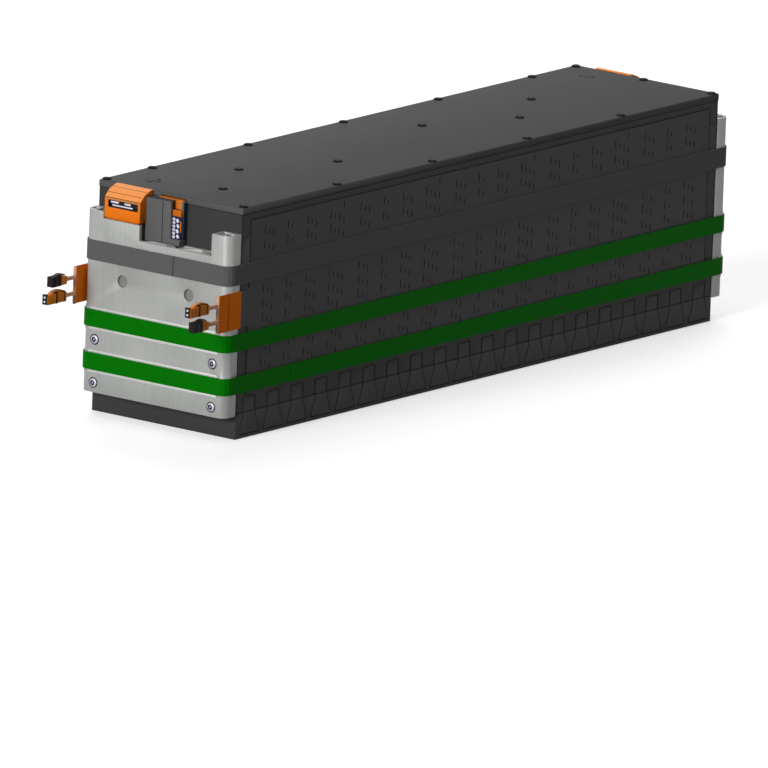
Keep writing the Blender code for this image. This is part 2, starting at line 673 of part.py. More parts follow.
def busbar_strip(first, last):
    """The strip's side outline over cells first to last, humped between each pair of cells."""
    start = cell_x(first) - CELL_PITCH / 2 + BUSBAR_END_MARGIN
    end = cell_x(last) + CELL_PITCH / 2 - BUSBAR_END_MARGIN
    line = [(start, 0)]
    for number in range(first, last):
        line += hump(cell_x(number) + CELL_PITCH / 2)
    line.append((end, 0))
    under = [(x, BUSBAR_BOTTOM + rise) for x, rise in line]
    return under + [(x, z + BUSBAR_THICKNESS) for x, z in reversed(under)], start, end


def make_busbar(name, first, last, side, metal, tail=0):
    points, start, end = busbar_strip(first, last)
    ys = sorted((side * BUSBAR_INNER_Y, side * BUSBAR_OUTER_Y))
    shape = flat([points], "Y", *ys)
    bmesh.ops.dissolve_limit(shape, angle_limit=math.radians(1), verts=shape.verts, edges=shape.edges)
    round_edges(shape, BUSBAR_CORNER,
                lambda a, b: upright(a, b) and min(abs(a.x - start), abs(a.x - end)) < FIT)
    busbar = make_piece(name, shape, metal)
    if tail:
        xs = sorted((tail * tail_root(), tail * (BODY_HALF + OUTPUT_TAIL_REACH)))
        low, high = tail_start() + FIT, tail_end() - FIT
        lead = block((xs[0], low, BUSBAR_BOTTOM), (xs[1], high, BUSBAR_TOP))
        join(busbar, round_edges(lead, BUSBAR_CORNER, upright), solver="MANIFOLD")
        bolt_at = (tail * bolt_hole_x(), (low + high) / 2, BUSBAR_TOP)
        bolt_length = 2 * BUSBAR_THICKNESS + CUT_PAST
        cut(busbar, bar(bolt_at, TERMINAL_BOLT_RADIUS, bolt_length, "Z", 16), solver="MANIFOLD")
    clear = BOSS_RADIUS + FIT
    for screw_x, screw_y in end_screws():
        if screw_y * side > 0 and start < screw_x < end:
            corner = (screw_x - math.copysign(clear, screw_x), screw_y - side * clear)
            past = (corner[0] + math.copysign(BOSS_WIDTH, screw_x), corner[1] + side * BOSS_WIDTH)
            xs, ys = sorted((corner[0], past[0])), sorted((corner[1], past[1]))
            notch = block((xs[0], ys[0], BUSBAR_BOTTOM - CUT_PAST), (xs[1], ys[1], BUSBAR_TOP + CUT_PAST))
            cut(busbar, notch, solver="MANIFOLD")
    y = side * TERMINAL_SPACING / 2
    middle = (BUSBAR_BOTTOM + BUSBAR_TOP) / 2
    cut(busbar, *[bar((cell_x(n), y, middle), WELD_HOLE_RADIUS, BUSBAR_THICKNESS + CUT_PAST, "Z", 8)
                  for n in range(first, last + 1)], solver="MANIFOLD")


def make_busbars():
    metal = make_material("busbar_aluminium", "C9C9C9", 0.35, 0.8)
    first = 1
    for number, last in enumerate(TERMINAL_SIDE_ENDS, 1):
        tail = -1 if first == 1 else 1 if last == CELL_COUNT else 0
        make_busbar(f"busbar_left_{number}", first, last, 1, metal, tail)
        first = last + 1
    first = 1
    for number, last in enumerate(FAR_SIDE_ENDS, 1):
        make_busbar(f"busbar_right_{number}", first, last, -1, metal)
        first = last + 1


def end_screws():
    x = BODY_HALF - END_SCREW_MARGIN
    return [(-x, EDGE_SCREW_Y), (x, EDGE_SCREW_Y), (-x, -EDGE_SCREW_Y), (x, -EDGE_SCREW_Y), (x, 0)]


def divider_places(ends):
    """X of the walls between one side's busbars."""
    return [cell_x(last) + CELL_PITCH / 2 for last in ends if last < CELL_COUNT]


def lid_screws():
    places = end_screws()
    places += [(x, EDGE_SCREW_Y) for x in divider_places(TERMINAL_SIDE_ENDS)]
    places += [(x, -EDGE_SCREW_Y) for x in divider_places(FAR_SIDE_ENDS)]
    places += [(count * CELL_PITCH, INNER_SCREW_Y) for count in INNER_SCREW_PITCHES_TERMINAL_SIDE]
    places += [(count * CELL_PITCH, -INNER_SCREW_Y) for count in INNER_SCREW_PITCHES_FAR_SIDE]
    return places


def branches():
    """Each sensing branch: side, the arm's x, the pad's x and whether a sensor sits on the pad."""
    found = []
    for side, ends, sensors in ((1, TERMINAL_SIDE_ENDS, TERMINAL_SIDE_SENSORS),
                                (-1, FAR_SIDE_ENDS, FAR_SIDE_SENSORS)):
        for last in ends:
            towards = -1
            if last == ends[0] or (side < 0 and last < CELL_COUNT):
                towards = 1
            arm, pad = cell_x(last + towards), cell_x(last)
            if side > 0 and last == CELL_COUNT:
                pad -= LAST_TAB_SHIFT
                arm += LAST_TAB_SHIFT / 2
            found.append((side, arm, pad, last in sensors))
    return found


def make_carrier():
    plastic = make_material("carrier_plastic", "565856", 0.5)
    half_x, half_y = BODY_HALF - INSULATOR_THICKNESS - FIT, PANEL_OUTER_Y
    carrier = make_piece("busbar_carrier", block((-half_x, -half_y, CARRIER_BOTTOM),
                                                 (half_x, half_y, CARRIER_TOP)), plastic)
    inner_x, inner_y = half_x - CARRIER_WALL, half_y - CARRIER_WALL
    floor, past = CARRIER_BOTTOM + CARRIER_FLOOR, CARRIER_TOP + CUT_PAST
    cut(carrier, block((-inner_x, -inner_y, floor), (inner_x, inner_y, past)))
    across, along = terminal_windows(WINDOW_MARGIN)
    windows = []
    for number in range(1, CELL_COUNT + 1):
        for y in (-TERMINAL_SPACING / 2, TERMINAL_SPACING / 2):
            x = cell_x(number)
            windows.append(block((x - across, y - along, CARRIER_BOTTOM - CUT_PAST),
                                 (x + across, y + along, floor + CUT_PAST)))
    cut(carrier, *windows)
    deck_half = DECK_WIDTH / 2
    root, bar_top = floor - SINK, DECK_TOP + BAR_RISE
    deck = block((-inner_x - SINK, -deck_half, root), (inner_x + SINK, deck_half, bar_top))
    join(carrier, deck)
    cut(carrier, block((-inner_x, -BAR_INNER_Y, DECK_TOP), (inner_x, BAR_INNER_Y, bar_top + CUT_PAST)))
    slots = []
    for side, arm, pad, _ in branches():
        xs = sorted((arm, pad))
        half = (SENSE_PAD / 2 + BAR_SLOT_MARGIN)
        ys = sorted((side * (BAR_INNER_Y - CUT_PAST), side * (deck_half + CUT_PAST)))
        slots.append(block((xs[0] - half, ys[0], DECK_TOP), (xs[1] + half, ys[1], bar_top + CUT_PAST)))
    cut(carrier, *slots)
    front_x = -inner_x - SINK
    wide_end = FLEX_WIDE_END + FLEX_WIDE_Y - FLEX_HALF_WIDTH - STACK_HALF
    cut(carrier, block((front_x + SINK, -FLEX_WIDE_Y - FIT, DECK_TOP), (wide_end + FIT, 0, bar_top + CUT_PAST)))
    walls = []
    for side, ends in ((1, TERMINAL_SIDE_ENDS), (-1, FAR_SIDE_ENDS)):
        ys = sorted((side * (deck_half - SINK), side * (inner_y + SINK)))
        for x in divider_places(ends):
            walls.append(block((x - DIVIDER_WIDTH / 2, ys[0], root),
                               (x + DIVIDER_WIDTH / 2, ys[1], floor + DIVIDER_RISE)))
    join(carrier, *walls)
    height = BOSS_TOP - root
    join(carrier, *[bar((x, y, root + height / 2), BOSS_RADIUS, height, "Z", 8) for x, y in lid_screws()])
    cut(carrier, *[bar((x, y, BOSS_TOP), BOSS_BORE_RADIUS, 2 * BOSS_BORE_DEPTH, "Z", 6)
                   for x, y in lid_screws()])
    low = BUSBAR_BOTTOM - 2 * FIT
    root_x = tail_root() - FIT
    gaps = [block((-half_x - CUT_PAST, tail_start(), low), (-root_x, tail_end(), past)),
            block((root_x, tail_start(), low), (half_x + CUT_PAST, tail_end(), past)),
            block((-half_x - CUT_PAST, -FLEX_WIDE_Y - FIT, FLEX_BOTTOM),
                  (-inner_x + CUT_PAST / 2, FLEX_HALF_WIDTH + FIT, past))]
    cut(carrier, *gaps)


def flex_branch(side, arm, pad):
    """The outline of one branch, walked in the direction of the main strip's edge on its side."""
    half_arm, half_pad = ARM_WIDTH / 2, SENSE_PAD / 2
    ys, yo = side * FLEX_HALF_WIDTH, side * SENSE_PAD_OUTER_Y
    yb, yp = side * (SENSE_PAD_OUTER_Y - BRIDGE_WIDTH), side * SENSE_PAD_INNER_Y
    if pad > arm:
        path = [(arm - half_arm, ys), (arm - half_arm, yo), (pad + half_pad, yo), (pad + half_pad, yp),
                (pad - half_pad, yp), (pad - half_pad, yb), (arm + half_arm, yb), (arm + half_arm, ys)]
    else:
        path = [(arm - half_arm, ys), (arm - half_arm, yb), (pad + half_pad, yb), (pad + half_pad, yp),
                (pad - half_pad, yp), (pad - half_pad, yo), (arm + half_arm, yo), (arm + half_arm, ys)]
    return path if side > 0 else path[::-1]


def make_flex():
    polyimide = make_material("flex_circuit", "C86400", 0.4)
    start = -STACK_HALF + FLEX_RAMP_START
    end = STACK_HALF - FLEX_FAR_MARGIN
    wide_end = -STACK_HALF + FLEX_WIDE_END
    outline = [(start, FLEX_HALF_WIDTH)]
    for side, arm, pad, _ in sorted((b for b in branches() if b[0] > 0), key=lambda b: b[1]):
        outline += flex_branch(side, arm, pad)
    outline += [(end, FLEX_HALF_WIDTH), (end, -FLEX_HALF_WIDTH)]
    for side, arm, pad, _ in sorted((b for b in branches() if b[0] < 0), key=lambda b: -b[1]):
        outline += flex_branch(side, arm, pad)
    slope = FLEX_WIDE_Y - FLEX_HALF_WIDTH
    outline += [(wide_end + slope, -FLEX_HALF_WIDTH), (wide_end, -FLEX_WIDE_Y), (start, -FLEX_WIDE_Y)]
    flex = make_piece("flex_circuit", flat([outline], "Z", FLEX_BOTTOM, FLEX_TOP), polyimide)
    join(flex, flex_ramp(), solver="MANIFOLD")
    join(flex, flex_tongue(), solver="MANIFOLD")
    tabs, sensors = [], []
    for side, _, pad, sensor in branches():
        tabs.append(nickel_tab(side, pad))
        if sensor:
            half_x, half_y = SENSOR_SIZE[0] / 2, SENSOR_SIZE[1] / 2
            y = side * ((SENSE_PAD_INNER_Y + SENSE_PAD_OUTER_Y) / 2 - half_y / 2)
            sensors.append(block((pad - half_x, y - half_y, FLEX_TOP - FLEX_THICKNESS / 2),
                                 (pad + half_x, y + half_y, FLEX_TOP + SENSOR_SIZE[2])))
    join(flex, *tabs, solver="MANIFOLD")
    join(flex, *sensors, solver="MANIFOLD")


def flex_exit():
    """Height of the flex where it leaves under the lid's edge, over the connector."""
    return LID_INSIDE - 2 * FIT - 2 * FLEX_THICKNESS


def ribbon(path, thickness):
    """A path's outline with a constant upright thickness."""
    return path + [(across, along + thickness) for across, along in reversed(path)]


def flex_ramp():
    start = -STACK_HALF + FLEX_RAMP_START
    high = flex_exit()
    path = [(start + SINK, FLEX_BOTTOM), (start - SINK, FLEX_BOTTOM), (start - FLEX_RAMP_LENGTH, high),
            (-BODY_HALF - FLEX_REACH, high)]
    return flat([ribbon(path, FLEX_THICKNESS)], "Y", -FLEX_WIDE_Y, FLEX_HALF_WIDTH)


def flex_tongue():
    """The end of the flex, folded down behind the connector's window."""
    outer = -BODY_HALF - FLEX_REACH
    inner = outer + FLEX_THICKNESS
    high = flex_exit() + FLEX_THICKNESS / 2
    low = header_top() + FIT
    points = [(outer, low), (inner, low), (inner, high), (outer, high)]
    return flat([points], "Y", HEADER_START_Y + FIT, HEADER_END_Y - FIT)


def nickel_tab(side, x):
    """A nickel strip from the sensing pad, stepped down onto its busbar."""
    low = BUSBAR_TOP + FIT
    inner, outer = SENSE_PAD_OUTER_Y - BRIDGE_WIDTH, NICKEL_REACH
    step_start, step_end = DECK_WIDTH / 2 + FIT, BUSBAR_INNER_Y + 2 * FIT
    high = FLEX_TOP - FLEX_THICKNESS / 2
    path = [(inner, high), (step_start, high), (step_end, low), (outer, low)]
    points = [(side * y, z) for y, z in ribbon(path, NICKEL_THICKNESS)]
    return flat([points], "X", x - NICKEL_WIDTH / 2, x + NICKEL_WIDTH / 2)


def make_lid():
    plastic = make_material("lid_plastic", "535353", 0.5)
    x, y = BODY_HALF, BODY_HALF_WIDTH
    shape = block((-x, -y, LID_RIM_BOTTOM), (x, y, LID_TOP))
    round_edges(shape, LID_EDGE_ROUND, lambda a, b: min(a.z, b.z) > LID_INSIDE)
    lid = make_piece("lid", shape, plastic)
    inner_x, inner_y = x - LID_RIM, y - LID_RIM
    cut(lid, block((-inner_x, -inner_y, LID_RIM_BOTTOM - CUT_PAST), (inner_x, inner_y, LID_INSIDE)))
    exit_low = LID_RIM_BOTTOM - CUT_PAST
    cut(lid, block((-x - CUT_PAST, -FLEX_WIDE_Y - FIT, exit_low),
                   (-inner_x + LID_RIM / 2, FLEX_HALF_WIDTH + FIT, LID_INSIDE)))
    places = lid_screws()
    shank_top = LID_INSIDE + SINK
    shanks = [bar((sx, sy, shank_top - LID_SHANK_LENGTH / 2), LID_SHANK_RADIUS, LID_SHANK_LENGTH, "Z", 6)
              for sx, sy in places]
    join(lid, *shanks)
    height = LID_SCREW_PROUD + SINK
    heads = [bar((sx, sy, LID_TOP - SINK + height / 2), LID_SCREW_RADIUS, height, "Z", 12, LID_SCREW_TOP_RADIUS)
             for sx, sy in places]
    join(lid, *heads)


def make_terminal_seats():
    orange = make_material("terminal_plastic", "D06A10", 0.45)
    low = TERMINAL_NOTCH_FLOOR + FIT
    for name, end in (("terminal_seat_front", -1), ("terminal_seat_rear", 1)):
        outer = PLATE_OUTER_X + COVER_PROUD - COVER_WALL - FIT
        xs = sorted((end * (PLATE_INNER_X + SINK), end * min(outer, PLATE_OUTER_X)))
        start, stop = COVER_START_Y + SEAT_MARGIN, COVER_END_Y - SEAT_MARGIN
        seat = make_piece(name, block((xs[0], start, low), (xs[1], stop, low + SEAT_HEIGHT)), orange)
        centre = (end * (PLATE_INNER_X + PLATE_THICKNESS / 2), (start + stop) / 2)
        cut(seat, bar((*centre, low + SEAT_HEIGHT), NUT_RADIUS, 2 * (SEAT_HEIGHT - NUT_HEIGHT), "Z", 6))
        cut(seat, bar((*centre, low + SEAT_HEIGHT), NUT_RADIUS / 2, 2 * NUT_HEIGHT, "Z", 12))


def make_terminal_covers():
    orange = make_material("cover_plastic", "F87800", 0.45)
    front_x = PLATE_OUTER_X + COVER_PROUD
    back_x = BODY_HALF + FIT
    top_x = front_x - COVER_CHAMFER
    chamfer_z = COVER_FRONT_TOP + COVER_CHAMFER
    middle = (COVER_START_Y + COVER_END_Y) / 2
    for name, end in (("terminal_cover_front", -1), ("terminal_cover_rear", 1)):
        outer = [(back_x, COVER_BOTTOM), (front_x, COVER_BOTTOM), (front_x, COVER_FRONT_TOP),
                 (top_x, chamfer_z), (back_x + COVER_CHAMFER / 2, COVER_TOP), (back_x, COVER_TOP)]
        wall = COVER_WALL
        inner = [(back_x - CUT_PAST, COVER_BOTTOM - CUT_PAST), (front_x - wall, COVER_BOTTOM - CUT_PAST),
                 (front_x - wall, COVER_FRONT_TOP - wall / 2), (top_x - wall / 2, chamfer_z - wall),
                 (back_x + COVER_CHAMFER / 2, COVER_TOP - wall), (back_x - CUT_PAST, COVER_TOP - wall)]
        shape = flat([[(end * x, z) for x, z in outer]], "Y", COVER_START_Y, COVER_END_Y)
        cover = make_piece(name, shape, orange)
        cut(cover, flat([[(end * x, z) for x, z in inner]], "Y", COVER_START_Y + wall, COVER_END_Y - wall))
        slot_top = COVER_FRONT_TOP - CATCH_SLOT_DROP
        slot_bottom = slot_top - CATCH_SLOT_HEIGHT
        xs = sorted((end * (front_x - wall - CUT_PAST), end * (front_x + CUT_PAST)))
        half = (COVER_END_Y - COVER_START_Y) / 2 - CATCH_SLOT_MARGIN
        cut(cover, block((xs[0], middle - half, slot_bottom), (xs[1], middle + half, slot_top)))


def header_floor():
    return MIDDLE_NOTCH_FLOOR + FIT + HEADER_FLOOR


def header_top():
    return header_floor() + FIT + HEADER_HEIGHT


def make_signal_connector():
    shell = make_material("connector_shell", "5D5D5D", 0.5)
    pins = make_material("header_plastic", "D8D4EE", 0.45)
    back = -BODY_HALF - 2 * FIT
    front = back - CONNECTOR_DEPTH
    low, high = MIDDLE_NOTCH_FLOOR + FIT, flex_exit() - FIT
    past = high + CUT_PAST
    housing = make_piece("signal_connector", block((front, CONNECTOR_START_Y, low),
                                                   (back, CONNECTOR_END_Y, high)), shell)
    rebate_x = front + CONNECTOR_REBATE_DEPTH
    cut(housing, block((front - CUT_PAST, CONNECTOR_START_Y - CUT_PAST, header_floor() - FIT),
                       (rebate_x, CONNECTOR_REBATE_Y, past)))
    pocket_back = rebate_x + CONNECTOR_POCKET_DEPTH
    pocket_front = rebate_x - CONNECTOR_POCKET_DEPTH / 2
    cut(housing, block((pocket_front, HEADER_START_Y - FIT, header_floor()),
                       (pocket_back, HEADER_END_Y + FIT, past)))
    header_back = pocket_back - FIT
    header_front = pocket_front + FIT
    bottom = header_floor() + FIT
    header = make_piece("signal_header", block((header_front, HEADER_START_Y, bottom),
                                               (header_back, HEADER_END_Y, header_top())), pins)
    row_step = (HEADER_HEIGHT - HEADER_PIN_SIZE) / HEADER_PIN_ROWS
    column = (HEADER_END_Y - HEADER_START_Y) / 4
    centre = (HEADER_START_Y + HEADER_END_Y) / 2
    half = HEADER_PIN_SIZE / 2
    sockets = []
    for row in range(HEADER_PIN_ROWS):
        z = bottom + HEADER_PIN_SIZE / 2 + (row + 0.5) * row_step
        for y in (centre - column, centre + column):
            sockets.append(block((header_front - CUT_PAST, y - half, z - half),
                                 (header_front + CONNECTOR_POCKET_DEPTH / 2, y + half, z + half)))
    cut(header, *sockets)


def make_heater_leads():
    sleeve = make_material("lead_sleeve", "D9A58A", 0.5)
    housing = make_material("plug_plastic", "8A4400", 0.45)
    start = -PLATE_OUTER_X - TAIL_REACH
    inner_end, outer_end = start + LEAD_OVERLAP, start + LEAD_OVERLAP - LEAD_LENGTH
    for name, side in (("left", 1), ("right", -1)):
        y = side * (TAIL_INNER_Y - FIT - LEAD_WIRE_RADIUS)
        for place, z in zip(("lower", "upper"), LEAD_HEIGHTS):
            spread = LEAD_WIRE_SPREAD / 2
            length = inner_end - outer_end
            middle = (inner_end + outer_end) / 2
            lead = make_piece(f"heater_lead_{name}_{place}",
                              bar((middle, y, z - spread), LEAD_WIRE_RADIUS, length, "X", 8), sleeve)
            join(lead, bar((middle, y, z + spread), LEAD_WIRE_RADIUS, length, "X", 8))
            is_plug = (place == "upper") == (side < 0)
            size = PLUG_SIZE if is_plug else SOCKET_SIZE
            make_heater_connector(f"heater_connector_{name}_{place}", outer_end - FIT, y, z, size, housing)


def make_heater_connector(name, rear, y, z, size, material):
    length, width, height = size
    shape = block((rear - length, y - width / 2, z - height / 2), (rear, y + width / 2, z + height / 2))
    connector = make_piece(name, shape, material)
    latch = block((rear - length * LATCH_END_SHARE, y - width / 4, z + height / 2 - SINK),
                  (rear - length * LATCH_START_SHARE, y + width / 4, z + height / 2 + LATCH_HEIGHT))
    join(connector, latch)
    half = CONTACT_SIZE / 2
    step = height / 4
    front = rear - length
    cut(connector, *[block((front - CUT_PAST, y - half, z + offset - half),
                           (front + CONTACT_DEPTH, y + half, z + offset + half)) for offset in (-step, step)])


make_cells()
make_tray()
make_side_panels()
make_insulators()
make_heater_films()
make_end_plates()
make_straps()
make_carrier()
make_busbars()
make_flex()
make_lid()
make_terminal_seats()
make_terminal_covers()
make_signal_connector()
make_heater_leads()
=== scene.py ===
"""Looks of an electric vehicle battery module: moulded shells, extruded plates, straps and screws.

Sizes and places are in millimetres in the CAD's own frame, and the functions that make shapes turn them to metres.
"""

import math

import bmesh
import bpy
from mathutils import Matrix, Vector


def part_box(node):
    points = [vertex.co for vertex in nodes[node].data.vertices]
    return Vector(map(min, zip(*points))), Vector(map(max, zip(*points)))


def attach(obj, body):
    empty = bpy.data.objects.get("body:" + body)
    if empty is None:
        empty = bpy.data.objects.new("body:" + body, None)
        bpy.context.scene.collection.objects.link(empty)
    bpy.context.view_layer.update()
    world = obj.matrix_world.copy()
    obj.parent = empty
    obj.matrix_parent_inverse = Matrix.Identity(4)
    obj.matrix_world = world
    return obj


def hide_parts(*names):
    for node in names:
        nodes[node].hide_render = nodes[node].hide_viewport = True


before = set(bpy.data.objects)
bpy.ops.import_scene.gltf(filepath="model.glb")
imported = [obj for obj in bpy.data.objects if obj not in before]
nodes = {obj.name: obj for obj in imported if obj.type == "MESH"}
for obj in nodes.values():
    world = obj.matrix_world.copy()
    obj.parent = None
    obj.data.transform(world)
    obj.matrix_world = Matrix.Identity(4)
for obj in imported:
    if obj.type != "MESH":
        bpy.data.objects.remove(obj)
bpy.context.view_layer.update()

MM = 0.001
bpy.context.scene.view_settings.view_transform = "Standard"


def linear(code):
    """An sRGB hex colour as linear red, green, blue and alpha."""
    shares = [int(code[i:i + 2], 16) / 255 for i in (0, 2, 4)]
    return [c / 12.92 if c <= 0.04045 else ((c + 0.055) / 1.055) ** 2.4 for c in shares] + [1]


def add(tree, kind, settings=None, links=None, **values):
    """Adds a node with its own settings, its inputs' values, and links from sockets to its inputs."""
    node = tree.nodes.new(kind)
    for name, value in (settings or {}).items():
        setattr(node, name, value)
    for name, value in values.items():
        node.inputs[name.replace("_", " ")].default_value = value
    for name, value in (links or {}).items():
        if isinstance(value, bpy.types.NodeSocket):
            tree.links.new(value, node.inputs[name])
        else:
            node.inputs[name].default_value = value
    return node


# Camera at the photograph's angle. A very long lens keeps the parallel lines parallel
camera_data = bpy.data.cameras.new("camera")
camera_data.sensor_width = 36
camera_data.lens = 1600
camera_data.clip_start = 1
camera_data.clip_end = 60
camera = bpy.data.objects.new("camera", camera_data)
bpy.context.scene.collection.objects.link(camera)
camera.matrix_world = Matrix(((0.616517, 0.153862, -0.772162, -20.782445),
                              (-0.786563, 0.163975, -0.595341, -16.005029),
                              (0.035015, 0.974392, 0.222115, 5.959765),
                              (0, 0, 0, 1)))
bpy.context.scene.camera = camera


def sun(name, strength, direction, spread):
    """A soft sun that shines along a direction, with its spread in degrees."""
    data = bpy.data.lights.new(name, "SUN")
    data.energy = strength
    data.angle = math.radians(spread)
    obj = bpy.data.objects.new(name, data)
    obj.matrix_world = Vector(direction).to_track_quat("-Z", "Y").to_matrix().to_4x4()
    bpy.context.scene.collection.objects.link(obj)


# Plain studio light: from above and from the connector end, so that the long side is the darkest
sun("light_from_end", 2.3, (0.95, 0.0, -0.3), 25)
sun("light_from_above", 0.5, (0.15, 0.02, -1.0), 40)
sun("light_on_side", 0.17, (0.1, 0.95, -0.25), 30)
sun("light_from_far_end", 1.0, (-0.55, -0.4, -0.73), 35)


def looked_at(tree):
    """A socket that is 1 where the eye looks at a surface, also in a mirror or through glass, and 0 for light."""
    ray = add(tree, "ShaderNodeLightPath").outputs
    mirrored = add(tree, "ShaderNodeMath", {"operation": "MAXIMUM"},
                   links={0: ray["Is Glossy Ray"], 1: ray["Is Transmission Ray"]})
    seen = add(tree, "ShaderNodeMath", {"operation": "MAXIMUM"},
               links={0: mirrored.outputs[0], 1: ray["Is Camera Ray"]})
    return seen.outputs[0]


def make_world():
    """A white studio to the eye, which sends only a little light onto the object."""
    world = bpy.data.worlds.new("studio")
    bpy.context.scene.world = world
    world.use_nodes = True
    tree = world.node_tree
    tree.nodes.clear()
    fill = add(tree, "ShaderNodeBackground", Color=(1, 1, 1, 1), Strength=0.06)
    white = add(tree, "ShaderNodeBackground", Color=(1, 1, 1, 1), Strength=1.0)
    both = add(tree, "ShaderNodeMixShader",
               links={0: looked_at(tree), 1: fill.outputs[0], 2: white.outputs[0]})
    add(tree, "ShaderNodeOutputWorld", links={"Surface": both.outputs[0]})


def make_floor():
    """A floor that is white to the eye, and dim to the object, so that little light comes up from it."""
    shape = bmesh.new()
    bmesh.ops.create_grid(shape, x_segments=1, y_segments=1, size=6)
    mesh = bpy.data.meshes.new("floor")
    shape.to_mesh(mesh)
    shape.free()
    floor = bpy.data.objects.new("floor", mesh)
    floor.location.z = -0.5 * MM
    bpy.context.scene.collection.objects.link(floor)
    material = bpy.data.materials.new("white_studio_floor")
    material.use_nodes = True
    tree = material.node_tree
    tree.nodes.clear()
    dim = add(tree, "ShaderNodeBsdfDiffuse", Color=(0.12, 0.12, 0.12, 1))
    shadowed = add(tree, "ShaderNodeBsdfDiffuse", Color=(0.8, 0.8, 0.8, 1))
    glow = add(tree, "ShaderNodeEmission", Color=(1, 1, 1, 1), Strength=0.55)
    pale = add(tree, "ShaderNodeAddShader", links={0: shadowed.outputs[0], 1: glow.outputs[0]})
    both = add(tree, "ShaderNodeMixShader",
               links={0: looked_at(tree), 1: dim.outputs[0], 2: pale.outputs[0]})
    add(tree, "ShaderNodeOutputMaterial", links={"Surface": both.outputs[0]})
    mesh.materials.append(material)


make_world()
make_floor()


def new_material(name, **values):
    """A material with its shader's plain values. Gives the material, its tree and the object's own coordinates."""
    material = bpy.data.materials.new(name)
    material.use_nodes = True
    tree = material.node_tree
    for label, value in values.items():
        tree.nodes["Principled BSDF"].inputs[label.replace("_", " ")].default_value = value
    return material, tree, add(tree, "ShaderNodeTexCoord").outputs["Object"]


def dress(tree, **patterns):
    """Links the patterns that a material has to its shader's inputs."""
    for label, socket in patterns.items():
        tree.links.new(socket, tree.nodes["Principled BSDF"].inputs[label.replace("_", " ")])


def moulded_plastic(name, dark, light, roughness=0.62, shine=0.1, relief=0.3):
    """Injection moulded PC and ABS: an even colour whose gloss a fine spark-eroded grain keeps low.

    The grain of a real tool is about 0.1 mm across, too fine to show, so it is drawn at 0.9 mm.
    """
    material, tree, place = new_material(name, IOR=1.55, Specular_IOR_Level=shine)
    cloud = add(tree, "ShaderNodeTexNoise", Scale=1 / (70 * MM), Detail=3.0, links={"Vector": place})
    colour = add(tree, "ShaderNodeMix", {"data_type": "RGBA"},
                 links={0: cloud.outputs["Fac"], 6: linear(dark), 7: linear(light)})
    grain = add(tree, "ShaderNodeTexNoise", Scale=1 / (0.9 * MM), Detail=2.0, links={"Vector": place})
    gloss = add(tree, "ShaderNodeMapRange",
                links={"Value": grain.outputs["Fac"], "To Min": roughness - 0.1, "To Max": roughness + 0.12})
    bump = add(tree, "ShaderNodeBump", Strength=relief, Distance=0.05 * MM,
               links={"Height": grain.outputs["Fac"]})
    dress(tree, Base_Color=colour.outputs[2], Roughness=gloss.outputs[0], Normal=bump.outputs[0])
    return material


def extruded_aluminium(name, dark, light):
    """Mill finish 6000 series aluminium: upright die lines about 1 mm apart, a soft sheen and no polish."""
    material, tree, place = new_material(name, Metallic=0.3, Specular_IOR_Level=0.3)
    upright = add(tree, "ShaderNodeMapping", links={"Vector": place, "Scale": (1, 1, 0.01)})
    lines = add(tree, "ShaderNodeTexNoise", Scale=1 / (1.1 * MM), Detail=3.0,
                links={"Vector": upright.outputs[0]})
    cloud = add(tree, "ShaderNodeTexNoise", Scale=1 / (40 * MM), Detail=3.0, links={"Vector": place})
    both = add(tree, "ShaderNodeMath", {"operation": "ADD"},
               links={0: lines.outputs["Fac"], 1: cloud.outputs["Fac"]})
    share = add(tree, "ShaderNodeMapRange",
                links={"Value": both.outputs[0], "From Min": 0.7, "From Max": 1.3})
    colour = add(tree, "ShaderNodeMix", {"data_type": "RGBA"},
                 links={0: share.outputs["Result"], 6: linear(dark), 7: linear(light)})
    gloss = add(tree, "ShaderNodeMapRange",
                links={"Value": lines.outputs["Fac"], "To Min": 0.45, "To Max": 0.62})
    bump = add(tree, "ShaderNodeBump", Strength=0.2, Distance=0.04 * MM,
               links={"Height": lines.outputs["Fac"]})
    dress(tree, Base_Color=colour.outputs[2], Roughness=gloss.outputs[0], Normal=bump.outputs[0])
    return material


def woven_tape(name, dark, light):
    """Woven polyester tape in plain weave: dull, with a faint check of warp and weft.

    Its threads are 0.5 mm apart, too fine to show, so they are drawn at 1.3 mm.
    """
    material, tree, place = new_material(name, IOR=1.5, Specular_IOR_Level=0.1, Roughness=0.75,
                                         Sheen_Weight=0.08, Sheen_Roughness=0.5)
    waves_per_metre = math.tau / (1.3 * MM)
    split = add(tree, "ShaderNodeSeparateXYZ", links={"Vector": place})
    along = add(tree, "ShaderNodeMath", {"operation": "ADD"},
                links={0: split.outputs["X"], 1: split.outputs["Y"]})
    warp = add(tree, "ShaderNodeMath", {"operation": "MULTIPLY"},
               links={0: split.outputs["Z"], 1: waves_per_metre})
    weft = add(tree, "ShaderNodeMath", {"operation": "MULTIPLY"},
               links={0: along.outputs[0], 1: waves_per_metre})
    warp_wave = add(tree, "ShaderNodeMath", {"operation": "SINE"}, links={0: warp.outputs[0]})
    weft_wave = add(tree, "ShaderNodeMath", {"operation": "SINE"}, links={0: weft.outputs[0]})
    weave = add(tree, "ShaderNodeMath", {"operation": "MULTIPLY"},
                links={0: warp_wave.outputs[0], 1: weft_wave.outputs[0]})
    share = add(tree, "ShaderNodeMapRange", links={"Value": weave.outputs[0], "From Min": -1.0})
    colour = add(tree, "ShaderNodeMix", {"data_type": "RGBA"},
                 links={0: share.outputs["Result"], 6: linear(dark), 7: linear(light)})
    bump = add(tree, "ShaderNodeBump", Strength=0.4, Distance=0.12 * MM,
               links={"Height": share.outputs["Result"]})
    dress(tree, Base_Color=colour.outputs[2], Normal=bump.outputs[0])
    return material


